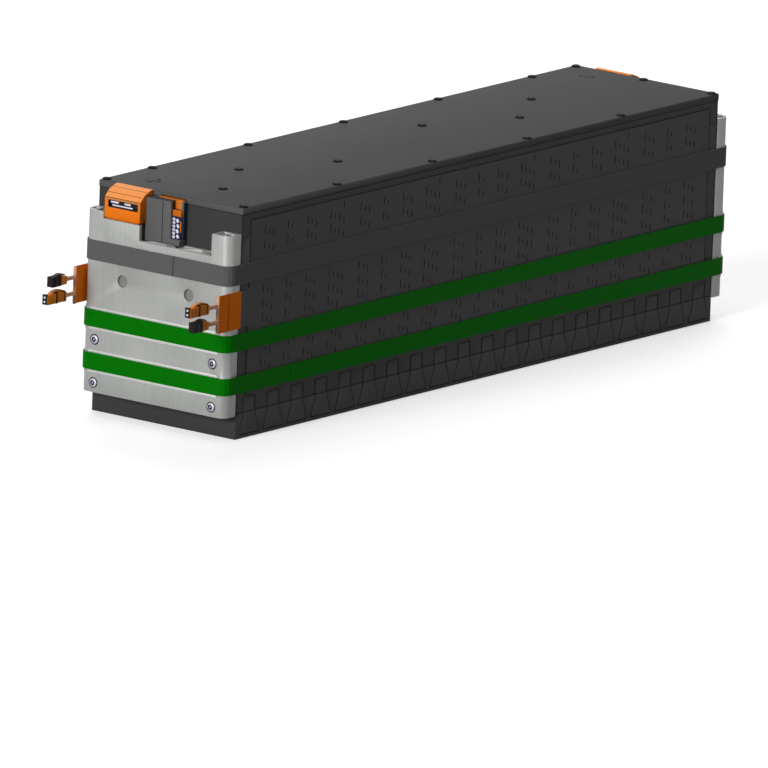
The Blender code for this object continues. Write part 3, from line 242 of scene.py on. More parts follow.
def strapping_band(name, dark, light):
    """Extruded polyester strapping: smooth, a soft gloss, with faint lines drawn along it 1.6 mm apart."""
    material, tree, place = new_material(name, IOR=1.57, Specular_IOR_Level=0.04)
    drawn = add(tree, "ShaderNodeMapping", links={"Vector": place, "Scale": (0.03, 0.03, 1)})
    lines = add(tree, "ShaderNodeTexNoise", Scale=1 / (1.6 * MM), Detail=2.0,
                links={"Vector": drawn.outputs[0]})
    colour = add(tree, "ShaderNodeMix", {"data_type": "RGBA"},
                 links={0: lines.outputs["Fac"], 6: linear(dark), 7: linear(light)})
    gloss = add(tree, "ShaderNodeMapRange",
                links={"Value": lines.outputs["Fac"], "To Min": 0.45, "To Max": 0.6})
    bump = add(tree, "ShaderNodeBump", Strength=0.2, Distance=0.04 * MM,
               links={"Height": lines.outputs["Fac"]})
    dress(tree, Base_Color=colour.outputs[2], Roughness=gloss.outputs[0], Normal=bump.outputs[0])
    return material


def heater_laminate(name, panel_end):
    """Heater film: black laminate on the side panel, and amber polyimide where its tail leaves the panel."""
    material, tree, place = new_material(name, IOR=1.6, Specular_IOR_Level=0.1)
    split = add(tree, "ShaderNodeSeparateXYZ", links={"Vector": place})
    body = add(tree, "ShaderNodeMath", {"operation": "GREATER_THAN"},
               links={0: split.outputs["X"], 1: panel_end * MM})
    cloud = add(tree, "ShaderNodeTexNoise", Scale=1 / (25 * MM), Detail=3.0, links={"Vector": place})
    black = add(tree, "ShaderNodeMix", {"data_type": "RGBA"},
                links={0: cloud.outputs["Fac"], 6: linear("4A4A4A"), 7: linear("505050")})
    amber = add(tree, "ShaderNodeMix", {"data_type": "RGBA"},
                links={0: cloud.outputs["Fac"], 6: linear("FA7C00"), 7: linear("FF8400")})
    both = add(tree, "ShaderNodeMix", {"data_type": "RGBA"},
               links={0: body.outputs[0], 6: amber.outputs[2], 7: black.outputs[2]})
    gloss = add(tree, "ShaderNodeMapRange",
                links={"Value": cloud.outputs["Fac"], "To Min": 0.5, "To Max": 0.62})
    bump = add(tree, "ShaderNodeBump", Strength=0.1, Distance=0.1 * MM,
               links={"Height": cloud.outputs["Fac"]})
    dress(tree, Base_Color=both.outputs[2], Roughness=gloss.outputs[0], Normal=bump.outputs[0])
    return material


def polyimide(name, dark, light):
    """Flexible circuit: amber polyimide cover film, smooth and glossy, a little cloudy over the copper."""
    material, tree, place = new_material(name, IOR=1.6, Coat_Weight=0.15, Coat_Roughness=0.25)
    cloud = add(tree, "ShaderNodeTexNoise", Scale=1 / (20 * MM), Detail=3.0, links={"Vector": place})
    colour = add(tree, "ShaderNodeMix", {"data_type": "RGBA"},
                 links={0: cloud.outputs["Fac"], 6: linear(dark), 7: linear(light)})
    gloss = add(tree, "ShaderNodeMapRange",
                links={"Value": cloud.outputs["Fac"], "To Min": 0.35, "To Max": 0.45})
    dress(tree, Base_Color=colour.outputs[2], Roughness=gloss.outputs[0])
    return material


def rolled_metal(name, dark, light, metallic, low, high, shine=0.5):
    """Rolled or plated sheet: fine lines along X from the rolls, and a gloss between two roughnesses.

    The lines are 0.1 mm apart, too fine to show, so they are drawn at 0.8 mm.
    """
    material, tree, place = new_material(name, Metallic=metallic, Specular_IOR_Level=shine)
    drawn = add(tree, "ShaderNodeMapping", links={"Vector": place, "Scale": (0.03, 1, 1)})
    lines = add(tree, "ShaderNodeTexNoise", Scale=1 / (0.8 * MM), Detail=3.0,
                links={"Vector": drawn.outputs[0]})
    colour = add(tree, "ShaderNodeMix", {"data_type": "RGBA"},
                 links={0: lines.outputs["Fac"], 6: linear(dark), 7: linear(light)})
    gloss = add(tree, "ShaderNodeMapRange",
                links={"Value": lines.outputs["Fac"], "To Min": low, "To Max": high})
    bump = add(tree, "ShaderNodeBump", Strength=0.15, Distance=0.03 * MM,
               links={"Height": lines.outputs["Fac"]})
    dress(tree, Base_Color=colour.outputs[2], Roughness=gloss.outputs[0], Normal=bump.outputs[0])
    return material


# Moulded shells of PC and ABS: even, dark and nearly matt. Upright walls are a little lighter than the tops: the
# lid's upright walls and the tray's long sides get lighter copies of their plastic, which is painted light
LID = moulded_plastic("lid_moulded_pc_abs", "4C4C4C", "525252", 0.65, 0.04)
LID_SIDE_PAINTED_LIGHT = moulded_plastic("lid_side_painted_light_pc_abs", "5C5C5C", "626262", 0.65, 0.04)
TRAY = moulded_plastic("tray_moulded_pc_abs", "3A3A3A", "424242")
TRAY_SIDE_PAINTED_LIGHT = moulded_plastic("tray_side_painted_light_pc_abs", "545454", "5C5C5C")
PANEL = moulded_plastic("panel_moulded_pc_abs", "525252", "5A5A5A")
CARRIER = moulded_plastic("carrier_moulded_pc_abs", "4E504E", "565856")

# Pressed insulator sheet: darker than the shells and as matt
SHEET = moulded_plastic("insulator_pressed_sheet", "3A3A3A", "404040", 0.65)

# Connector parts of moulded PBT: finer tools leave a little more gloss than on the shells. The slate blue is
# painted shade, on the connector's side face
SHELL = moulded_plastic("connector_moulded_pbt", "606060", "686868", 0.5)
NAVY = moulded_plastic("header_moulded_navy", "16163A", "1E1E46", 0.5)
CONNECTOR_SIDE_SHADE = moulded_plastic("connector_side_painted_shade_slate", "22343C", "2A3C44", 0.6)

# High voltage orange, coloured all through: a soft highlight on the rounded edges. The covers' tops are painted
# paler as painted light, and their flanks painted darker as painted shade
ORANGE = moulded_plastic("cover_moulded_orange", "FA7C00", "FF8408", 0.5, 0.2, 0.2)
COVER_TOP_PAINTED_LIGHT = moulded_plastic("cover_top_painted_light_orange", "FF9C50", "FFA860", 0.5, 0.1, 0.2)
TAN_ORANGE = moulded_plastic("cover_band_tan", "D48848", "DE9254", 0.5, 0.1, 0.2)
COVER_FLANK_PAINTED_SHADE = moulded_plastic("cover_flank_painted_shade_orange", "C06000", "CC6A08", 0.5, 0.1, 0.2)
SEAT = moulded_plastic("seat_moulded_orange", "D06A10", "DC7414", 0.5)

# Heater plugs and their wires: amber nylon, a brown socket face, whose brown discs are painted as the shade in a
# socket's holes, tan latches and a soft pale sleeve
PLUG = moulded_plastic("plug_moulded_amber", "EC8414", "F68E20", 0.5)
BROWN = moulded_plastic("plug_brown_and_painted_hole_shade", "3A1E08", "46260C", 0.55)
LATCH = moulded_plastic("latch_moulded_tan", "D89060", "E29C6C", 0.5)
SLEEVE = moulded_plastic("wire_sleeve", "FFC8A4", "FFD4B4", 0.5)
PEACH = moulded_plastic("tail_end_moulded_peach", "DCA084", "E6AE92", 0.5)

# Heater film and circuit: smooth laminates, with a darker amber strip painted as the shade of a crease in the
# tail, and dull black print on the film
FILM = heater_laminate("heater_laminate", panel_end=-303.5)
TAIL_CREASE_PAINTED_SHADE = moulded_plastic("tail_fold_amber", "8A4400", "944A04", 0.5)
DASH = moulded_plastic("heater_print_black", "1A1A1C", "222224", 0.6, 0.04)
FLEX = polyimide("polyimide_circuit", "D87008", "E47C10")
LAVENDER = moulded_plastic("temperature_sensor_lavender", "A8A0D0", "B8B0DC", 0.5)

# Straps: a dull woven one, and two smooth green bands
GREY_TAPE = woven_tape("grey_woven_polyester", "585858", "6C6C6C")
GREEN_TAPE = strapping_band("green_polyester_band", "007000", "027A04")

# Extruded aluminium: pale and silky with upright lines. The beads are painted brighter, as painted light, and the
# grip holes' floors painted dim, as painted shade
ALUMINIUM = extruded_aluminium("mill_finish_aluminium", "A0A29F", "B0B2AF")
BEAD_PAINTED_LIGHT_ALUMINIUM = extruded_aluminium("bead_painted_light_aluminium", "C8CAC7", "D6D8D5")
HOLE_FLOOR_PAINTED_SHADE = extruded_aluminium("hole_floor_painted_shade_aluminium", "7C7E7C", "8C8E8C")

# Rolled and plated metals: bare aluminium, nickel and tin shine, zinc is duller, and black steel hardly shines.
# Black steel is also the painted shade in the end plate screws' gaps and sockets
BUSBAR = rolled_metal("rolled_aluminium_busbar", "C4C6C8", "D6D8DA", 0.8, 0.35, 0.48)
CAN = rolled_metal("cell_can_aluminium", "8C9AA2", "A0AEB6", 0.7, 0.35, 0.5)
NICKEL = rolled_metal("nickel_sense_tab", "C8C8CA", "DADADC", 0.6, 0.3, 0.42)
TIN = rolled_metal("tin_plated_contact", "D9D9EC", "E8E8F6", 0.35, 0.35, 0.5)
ZINC = rolled_metal("zinc_plated_steel", "B4B4C0", "C4C4D0", 0.4, 0.4, 0.55)
LAVENDER_ZINC = rolled_metal("blue_passivated_zinc", "A0A0C4", "B4B4D4", 0.3, 0.35, 0.5)
BLACK_STEEL_AND_SHADE = rolled_metal("blackened_steel_and_painted_shade", "0C0C0E", "141416", 0.0, 0.55, 0.7, 0.06)
GREY_STEEL = rolled_metal("grey_coated_steel", "4C4C4E", "585858", 0.0, 0.5, 0.65, 0.1)

# Black plastic of the plugs' collars and the connector's seam, which is also painted shade deep in a slot or
# hollow, where hardly any light comes back; and a dark line painted as the shadow in a gap or joint
SHADE = moulded_plastic("black_plastic_and_painted_shade", "1C1C1E", "222224", 0.7, 0.1)
GAP = moulded_plastic("gap_shadow_black", "1E1E20", "262628", 0.7, 0.04)

FINISHES = {
    "cell_": CAN, "bottom_tray": TRAY, "side_panel": PANEL, "end_insulator": SHEET, "heater_film": FILM,
    "end_plate": ALUMINIUM, "grey_strap": GREY_TAPE, "upper_green": GREEN_TAPE, "lower_green": GREEN_TAPE,
    "busbar_carrier": CARRIER, "busbar_left": BUSBAR, "busbar_right": BUSBAR, "flex": FLEX, "lid": LID,
    "terminal_seat": SEAT, "terminal_cover": ORANGE, "signal_connector": SHELL, "signal_header": NAVY,
    "heater_lead": SLEEVE, "heater_connector": PLUG,
}


def finish_nodes():
    """Gives each node of the frame the finish that its name stands for."""
    for name, obj in nodes.items():
        for start, material in FINISHES.items():
            if name.startswith(start):
                obj.data.materials.clear()
                obj.data.materials.append(material)


def keep(piece, material, *replaced, slot=None, angle=32):
    """Gives a finished mesh piece its material, smooth shading up to an angle, and its place on the frame."""
    mesh = piece.data
    if material:
        mesh.materials.clear()
        mesh.materials.append(material)
    mesh.shade_smooth()
    mesh.set_sharp_from_angle(angle=math.radians(angle))
    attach(piece, "root")
    if replaced:
        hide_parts(*replaced)
    return piece


def piece_of(name, shape):
    """A new object from a bmesh shape, which is in place already."""
    mesh = bpy.data.meshes.new(name)
    shape.to_mesh(mesh)
    shape.free()
    piece = bpy.data.objects.new(name, mesh)
    bpy.context.scene.collection.objects.link(piece)
    return piece


def settle(piece):
    """Turns a piece and its live modifiers into a plain mesh."""
    graph = bpy.context.evaluated_depsgraph_get()
    mesh = bpy.data.meshes.new_from_object(piece.evaluated_get(graph))
    piece.modifiers.clear()
    old = piece.data
    piece.data = mesh
    bpy.data.meshes.remove(old)
    mesh.name = piece.name
    return piece


def copy_of(node):
    """A copy of a node's shape, with its loose triangles joined."""
    shape = bmesh.new()
    shape.from_mesh(nodes[node].data)
    bmesh.ops.remove_doubles(shape, verts=shape.verts, dist=0.002 * MM)
    return shape


def softened(node, material, radius, angle=30, shape=None):
    """A node's own shape with its edges rounded by a small radius, as moulding and tumbling leave them."""
    if shape is None:
        shape = copy_of(node)
    bmesh.ops.dissolve_limit(shape, angle_limit=math.radians(0.5), verts=shape.verts, edges=shape.edges)
    piece = piece_of(f"{node}_finished", shape)
    rounding = piece.modifiers.new("rounding", "BEVEL")
    rounding.width = radius * MM
    rounding.segments = 2
    rounding.limit_method = "ANGLE"
    rounding.angle_limit = math.radians(angle)
    return keep(settle(piece), material, node, angle=40)


def block(shape, one, other, rounding=0.0):
    """Adds a box between two opposite corners to a shape, with its edges rounded."""
    low = [min(pair) * MM for pair in zip(one, other)]
    high = [max(pair) * MM for pair in zip(one, other)]
    made = bmesh.ops.create_cube(shape, size=1)["verts"]
    for vert in made:
        vert.co = [(low[i] + high[i]) / 2 + vert.co[i] * (high[i] - low[i]) for i in range(3)]
    if rounding:
        edges = list(dict.fromkeys(edge for vert in made for edge in vert.link_edges))
        bmesh.ops.bevel(shape, geom=edges, offset=rounding * MM, segments=2, profile=0.5, affect="EDGES")


def blocks(name, boxes, material, slot, rounding=0.0):
    """A finished piece of one or more boxes, each given by two opposite corners."""
    shape = bmesh.new()
    for one, other in boxes:
        block(shape, one, other, rounding)
    keep(piece_of(name, shape), material, slot=slot)


def round_bar(shape, centre, radius, length, sides):
    """Adds a closed round bar along X to a shape."""
    place = Matrix.Translation([value * MM for value in centre]) @ Matrix.Rotation(math.pi / 2, 4, "Y")
    bmesh.ops.create_cone(shape, cap_ends=True, segments=sides, radius1=radius * MM, radius2=radius * MM,
                          depth=length * MM, matrix=place)


# Geometry Nodes trees: each puts one small shape at every point of a piece
def new_tree(name, sizes):
    """A tree with a geometry input, named size inputs and a material input, and its two end nodes."""
    tree = bpy.data.node_groups.new(name, "GeometryNodeTree")
    tree.interface.new_socket("Points", in_out="INPUT", socket_type="NodeSocketGeometry")
    for label, kind in sizes.items():
        tree.interface.new_socket(label, in_out="INPUT", socket_type=kind)
    tree.interface.new_socket("Turn", in_out="INPUT", socket_type="NodeSocketVector")
    tree.interface.new_socket("Material", in_out="INPUT", socket_type="NodeSocketMaterial")
    tree.interface.new_socket("Mesh", in_out="OUTPUT", socket_type="NodeSocketGeometry")
    return tree, tree.nodes.new("NodeGroupInput").outputs, tree.nodes.new("NodeGroupOutput")


def close_tree(tree, given, out, shape):
    """Puts the tree's shape at each point, makes the copies real and gives them their material."""
    placed = add(tree, "GeometryNodeInstanceOnPoints",
                 links={"Points": given["Points"], "Instance": shape, "Rotation": given["Turn"]})
    real = add(tree, "GeometryNodeRealizeInstances", links={0: placed.outputs[0]})
    dressed = add(tree, "GeometryNodeSetMaterial",
                  links={"Geometry": real.outputs[0], "Material": given["Material"]})
    tree.links.new(dressed.outputs[0], out.inputs[0])
    return tree


# A screw head's rim and dome, as shares of the head's height and radius
RIM_HEIGHT, RIM_TOP, DOME_TOP = 0.45, 0.93, 0.66
ROUND_SIDES = 28


def screw_tree():
    """A button head screw: a tapered rim, a domed top and a six-sided socket."""
    tree, given, out = new_tree("button_head_screws", {
        "Radius": "NodeSocketFloat", "Height": "NodeSocketFloat", "Socket Radius": "NodeSocketFloat",
        "Socket Depth": "NodeSocketFloat"})
    rim_height, rim_top, dome_top, key_length = (
        add(tree, "ShaderNodeMath", {"operation": "MULTIPLY"}, links={0: given[label], 1: times}).outputs[0]
        for label, times in (("Height", RIM_HEIGHT), ("Radius", RIM_TOP), ("Radius", DOME_TOP),
                             ("Socket Depth", 2.0)))
    dome_height = add(tree, "ShaderNodeMath", {"operation": "SUBTRACT"}, links={0: given["Height"], 1: rim_height})
    rim = add(tree, "GeometryNodeMeshCone", Vertices=ROUND_SIDES,
              links={"Radius Top": rim_top, "Radius Bottom": given["Radius"], "Depth": rim_height})
    dome = add(tree, "GeometryNodeMeshCone", Vertices=ROUND_SIDES,
               links={"Radius Top": dome_top, "Radius Bottom": rim_top, "Depth": dome_height.outputs[0]})
    lift = add(tree, "ShaderNodeCombineXYZ", links={"Z": rim_height})
    raised = add(tree, "GeometryNodeTransform",
                 links={"Geometry": dome.outputs[0], "Translation": lift.outputs[0]})
    head = add(tree, "GeometryNodeJoinGeometry")
    tree.links.new(rim.outputs[0], head.inputs[0])
    tree.links.new(raised.outputs[0], head.inputs[0])
    welded = add(tree, "GeometryNodeMergeByDistance", Distance=0.01 * MM, links={"Geometry": head.outputs[0]})
    key = add(tree, "GeometryNodeMeshCylinder", Vertices=6,
              links={"Radius": given["Socket Radius"], "Depth": key_length})
    top = add(tree, "ShaderNodeCombineXYZ", links={"Z": given["Height"]})
    key_place = add(tree, "GeometryNodeTransform",
                    links={"Geometry": key.outputs[0], "Translation": top.outputs[0]})
    socketed = add(tree, "GeometryNodeMeshBoolean", {"operation": "DIFFERENCE", "solver": "EXACT"})
    tree.links.new(welded.outputs[0], socketed.inputs[0])
    tree.links.new(key_place.outputs[0], socketed.inputs[1])
    return close_tree(tree, given, out, socketed.outputs[0])


def bar_tree():
    """A small straight bar, for dashes, gaps and contacts."""
    tree, given, out = new_tree("small_bars", {"Size": "NodeSocketVector"})
    cube = add(tree, "GeometryNodeMeshCube", links={"Size": given["Size"]})
    return close_tree(tree, given, out, cube.outputs[0])


def ring_tree():
    """A flat ring with a square section, for the rings round screws and poles."""
    tree, given, out = new_tree("flat_rings", {
        "Radius": "NodeSocketFloat", "Width": "NodeSocketFloat", "Height": "NodeSocketFloat"})
    circle = add(tree, "GeometryNodeCurvePrimitiveCircle", Resolution=ROUND_SIDES,
                 links={"Radius": given["Radius"]})
    section = add(tree, "GeometryNodeCurvePrimitiveQuadrilateral",
                  links={"Width": given["Width"], "Height": given["Height"]})
    swept = add(tree, "GeometryNodeCurveToMesh",
                links={"Curve": circle.outputs[0], "Profile Curve": section.outputs[0]})
    return close_tree(tree, given, out, swept.outputs[0])


SCREWS, BARS, RINGS = screw_tree(), bar_tree(), ring_tree()


def repeated(name, tree, places, material, slot, turn=(0, 0, 0), **sizes):
    """Runs a tree over a list of places and keeps the result as one plain mesh. The turn is in radians."""
    shape = bmesh.new()
    for place in places:
        shape.verts.new([value * MM for value in place])
    piece = piece_of(name, shape)
    modifier = piece.modifiers.new(name, "NODES")
    modifier.node_group = tree
    values = {"Turn": turn, "Material": material}
    for label, size in sizes.items():
        in_metres = [part * MM for part in size] if isinstance(size, tuple) else size * MM
        values[label.replace("_", " ")] = in_metres
    for item in tree.interface.items_tree:
        if item.in_out == "INPUT" and item.name in values:
            modifier[item.identifier] = values[item.name]
    keep(settle(piece), None, slot=slot, angle=35)


# Places that several pieces share. The front is the end with the signal connector
ENDS = ((-1, "front"), (1, "rear"))
SIDES = ((-1, "right"), (1, "left"))
CELLS = 20
CELL_PITCH = 30.3
LID_TOP = 185.0
PLATE_FACE = 319.95
SUNK = 0.05    # how deep a screw sits in its surface, so that no gap shows under it

# Terminal covers: the sides of the solid and of the finished cover, and the latch slot and how much higher it lies
COVER_Y = (17.9, 53.6)
FITTED_Y = (17.1, 52.6)
SLOT_Y, SLOT_Z = (21.8, 49.7), (168.5, 173.9)
SLOT_LIFT = 1.2

# Buttresses of the tray: half the width of a foot in the solid and in the finished tray, one under each cell
FOOT_HALF, FINISHED_FOOT_HALF = 12.25, 12.95


def without_heads(node, is_head):
    """A copy of a node's shape without its plain screw heads, which finished screws take the place of."""
    shape = copy_of(node)
    heads = [vert for vert in shape.verts if is_head(vert.co / MM)]
    bmesh.ops.delete(shape, geom=heads, context="VERTS")
    bmesh.ops.holes_fill(shape, edges=[edge for edge in shape.edges if edge.is_boundary], sides=0)
    return shape


def across(y):
    """A terminal cover's own Y, moved to where the finished cover has it."""
    share = (y - COVER_Y[0]) / (COVER_Y[1] - COVER_Y[0])
    return FITTED_Y[0] + share * (FITTED_Y[1] - FITTED_Y[0])


def fitted_cover(node):
    """A cover's shape at its finished width, with its latch slot a little higher."""
    shape = copy_of(node)
    for vert in shape.verts:
        y, z = vert.co.y / MM, vert.co.z / MM
        if SLOT_Y[0] < y < SLOT_Y[1] and SLOT_Z[0] < z < SLOT_Z[1]:
            vert.co.z += SLOT_LIFT * MM
        vert.co.y = across(y) * MM
    return shape


def widened_feet():
    """The tray's shape with each buttress as wide at its foot as the picture has it."""
    shape = copy_of("bottom_tray")
    for vert in shape.verts:
        x, y, z = (value / MM for value in vert.co)
        middle = (math.floor(x / CELL_PITCH) + 0.5) * CELL_PITCH
        # A foot's corners are low on the tray's outer face
        if abs(y) > 71.1 and z < 4 and abs(abs(x - middle) - FOOT_HALF) < 0.35:
            vert.co.x = (middle + (x - middle) * FINISHED_FOOT_HALF / FOOT_HALF) * MM
    return shape


def finish_shells():
    """Shells, plates and covers: the frame's own shapes with small radii. The lid's upright walls and the tray's
    long sides get a lighter copy of their plastic, as painted light.
    """
    lid = softened("lid", LID, 0.4, shape=without_heads("lid", lambda place: place.z > LID_TOP + SUNK)).data
    # Painted light: the lid's upright faces take a lighter copy of its plastic
    lid.materials.append(LID_SIDE_PAINTED_LIGHT)
    for face in lid.polygons:
        if abs(face.normal.z) < 0.5:
            face.material_index = 1
    for _, end in ENDS:
        plate = without_heads(f"end_plate_{end}", lambda place: abs(place.x) > PLATE_FACE + SUNK)
        softened(f"end_plate_{end}", ALUMINIUM, 0.25, angle=50, shape=plate)
        softened(f"terminal_cover_{end}", ORANGE, 0.45, shape=fitted_cover(f"terminal_cover_{end}"))
    tray = softened("bottom_tray", TRAY, 0.5, shape=widened_feet()).data
    # Painted light: the tray's long sides take a lighter copy of its plastic
    tray.materials.append(TRAY_SIDE_PAINTED_LIGHT)
    for face in tray.polygons:
        if abs(face.normal.y) > 0.7:
            face.material_index = 1
    softened("signal_connector", SHELL, 0.3)
    for side in ("left", "right"):
        softened(f"side_panel_{side}", PANEL, 0.3)


# Screws as (x, y) on the lid and (y, z) on an end plate
LID_SCREWS = [(x, y) for x in (-299.35, 299.35) for y in (-68, 68)] + [(299.35, 0)] + \
    [(x, 68) for x in (-242.4, -121.2, 0, 121.2, 242.4)] + [(x, -68) for x in (-181.8, -60.6, 60.6, 181.8)] + \
    [(x, 17.5) for x in (-196.95, 35.75, 176.35)] + [(x, -17.5) for x in (-261.2, -116.05, 116.35)]
PLATE_SCREWS = [(y, z) for y in (-58.7, 58.7) for z in (26.6, 61.2)]

# A plate screw's parts, each with how far it stands out: its dark seat, painted as the shade in the gap round its
# head, its head, the dark ring of its socket, painted as the shade on the socket's wall, and the bright floor of
# that socket
PLATE_SCREW_PARTS = (
    # Painted shade: a dark ring in the gap round the head, and another on the socket's wall
    ("gaps", RINGS, 0.0, BLACK_STEEL_AND_SHADE, {"Radius": 3.9, "Width": 0.8, "Height": 0.3}),
    ("heads", SCREWS, 0.0, ZINC, {"Radius": 3.6, "Height": 1.1, "Socket_Radius": 2.3, "Socket_Depth": 0.5}),
    ("socket_shades", RINGS, 0.8, BLACK_STEEL_AND_SHADE, {"Radius": 1.65, "Width": 1.1, "Height": 0.5}),
    ("keys", SCREWS, 0.3, LAVENDER_ZINC,
     {"Radius": 1.15, "Height": 0.8, "Socket_Radius": 0.45, "Socket_Depth": 0.3}),
)


def make_screws():
    """Twenty black button heads in the lid, and four zinc plated ones in each end plate."""
    turn = (0, 0, 0.3)
    places = [(x, y, LID_TOP - SUNK) for x, y in LID_SCREWS]
    repeated("lid_screws", SCREWS, places, BLACK_STEEL_AND_SHADE, "lid_plastic", turn,
             Radius=3.9, Height=1.35, Socket_Radius=2.1, Socket_Depth=0.5)
    repeated("lid_screw_keys", SCREWS, [(x, y, z + 0.7) for x, y, z in places], GREY_STEEL, "lid_plastic", turn,
             Radius=1.9, Height=0.7, Socket_Radius=0.9, Socket_Depth=0.4)
    for end, name in ENDS:
        for part, tree, out, material, sizes in PLATE_SCREW_PARTS:
            places = [(end * (PLATE_FACE - SUNK + out), y, z) for y, z in PLATE_SCREWS]
            repeated(f"plate_screw_{part}_{name}", tree, places, material, "extruded_aluminium",
                     (0, end * math.pi / 2, 0), **sizes)


# Beads beside the green straps: half their length, their height, and the foot of each
BEAD_HALF, BEAD_HEIGHT = 64.4, 2.2
BEAD_FEET = (34.7, 50.7, 69.1, 85.1)

# The two grip holes of an end plate: how far each is from the middle, and how high
GRIP_HOLE_Y, GRIP_HOLE_Z = 33, 111.7


def make_strap_beads():
    """Low beads across each end plate that keep the two green straps from sliding up or down."""
    for end, name in ENDS:
        back, front = end * (PLATE_FACE - 0.2), end * (PLATE_FACE + 0.8)
        beads = [((back, -BEAD_HALF, foot), (front, BEAD_HALF, foot + BEAD_HEIGHT)) for foot in BEAD_FEET]
        # Painted light: the beads take a brighter copy of the aluminium
        blocks(f"strap_beads_{name}", beads, BEAD_PAINTED_LIGHT_ALUMINIUM, "extruded_aluminium", 0.5)


def make_hole_floors():
    """Floors of the two grip holes: the web of the extrusion that shows a little way in, painted darker than the
    plate as the shade inside the hole.
    """
    for end, name in ENDS:
        shape = bmesh.new()
        for y in (-GRIP_HOLE_Y, GRIP_HOLE_Y):
            place = (end * (PLATE_FACE - 2.4), y, GRIP_HOLE_Z)
            round_bar(shape, place, radius=5.3, length=0.8, sides=32)
        # Painted shade: the floors take a darker copy of the aluminium
        keep(piece_of(f"grip_hole_floors_{name}", shape), HOLE_FLOOR_PAINTED_SHADE, slot="extruded_aluminium")


# Heater film: its outline, where the tail leaves it, and the two faces of what is printed on it and of the shadow
# painted along its edge
FILM_HALF = 293.5
FILM_FOOT, FILM_TOP = 34.6, 174.5
TAIL_FOOT, TAIL_TOP = 88.6, 119.8
FILM_SKIN = (71.66, 71.76)

# Printed dashes stand in clusters over the joints between cells. Each cluster has its count of dashes and its
# distance from the joint, in turn along the film, and each dash of a cluster has its length. The heights that a
# strap or the painted shadow line along the film's top covers stay unprinted
DASH_CLUSTERS = ((3, 2.9), (2, -1.0), (3, -3.9), (4, -2.0))
DASH_LENGTHS = (7.0, 3.8, 5.2, 5.2)
DASH_Y, DASH_FOOT, DASH_ROWS = 71.73, 44.5, 12
DASH_PITCH, DASH_ROW, DASH_STEP = 5.45, 11.7, 2.2
UNPRINTED = ((0, 53.8), (68, 88.2), (121, 143.8), (170.9, 180))


def make_film_dashes():
    """The print on each film, with one piece for each dash of the clusters."""
    for side, name in SIDES:
        for dash, length in enumerate(DASH_LENGTHS):
            places = []
            for joint in range(CELLS - 1):
                count, shift = DASH_CLUSTERS[joint % len(DASH_CLUSTERS)]
                x = (joint - (CELLS - 2) / 2) * CELL_PITCH + shift + (dash - (count - 1) / 2) * DASH_PITCH
                for row in range(DASH_ROWS if dash < count else 0):
                    z = DASH_FOOT + row * DASH_ROW - (dash - 1) * DASH_STEP
                    if not any(low < z < high for low, high in UNPRINTED):
                        places.append((x, side * DASH_Y, z))
            repeated(f"film_dashes_{name}_{dash + 1}", BARS, places, DASH, "heater_film", Size=(0.9, 0.08, length))


# The slit under the lid's rim: half its length, from its back to its front, and from its foot to its top
SLIT_HALF, SLIT_Y, SLIT_Z = 304.3, (70.56, 71.06), (179.05, 179.75)


def make_side_joints():
    """Dark joints on the long sides: the slit under the lid's rim, and a dark line painted as the shadow along the
    top and ends of each heater film.
    """
    slits = [((-SLIT_HALF, side * SLIT_Y[0], SLIT_Z[0]), (SLIT_HALF, side * SLIT_Y[1], SLIT_Z[1]))
             for side, _ in SIDES]
    blocks("slit_under_lid", slits, GAP, "lid_plastic")
    # Painted shadow: a dark line along the film's top and ends
    shadow_line = 0.6
    for side, name in SIDES:
        inner, outer = (side * y for y in FILM_SKIN)
        strips = [((-FILM_HALF, inner, FILM_TOP - shadow_line), (FILM_HALF, outer, FILM_TOP - 0.05))]
        for end, low, high in ((-1, FILM_FOOT, TAIL_FOOT), (-1, TAIL_TOP, FILM_TOP - shadow_line),
                               (1, FILM_FOOT, FILM_TOP - shadow_line)):
            strips.append(((end * (FILM_HALF - shadow_line), inner, low), (end * FILM_HALF, outer, high)))
        blocks(f"film_edge_{name}", strips, GAP, "heater_film")


# Inside, under the lid: tops of the circuit and the busbars, where the circuit's tabs start, and the poles' row
FLEX_TOP = 168.4
TAB_START = 22.5
BUSBAR_TOP = 165.6
POLE_Y = 48.2


def make_inside_details():
    """Nickel sense tabs and lavender sensors on the circuit, and the rings pressed round four poles."""
    circuit = keep(piece_of("flex_circuit_finished", copy_of("flex_circuit")), FLEX, "flex_circuit").data
    circuit.materials.append(NICKEL)
    circuit.materials.append(LAVENDER)
    for face in circuit.polygons:
        if face.center.z > (FLEX_TOP + 0.1) * MM and face.center.x > -270 * MM:
            face.material_index = 2
        elif abs(face.center.y) > TAB_START * MM:
            face.material_index = 1
    rings = [(end * place * CELL_PITCH, POLE_Y, BUSBAR_TOP + 0.1) for end, _ in ENDS for place in (8.5, 9.5)]
    repeated("pole_rings", RINGS, rings, GREY_STEEL, "busbar_aluminium", Radius=6.7, Width=0.6, Height=0.3)


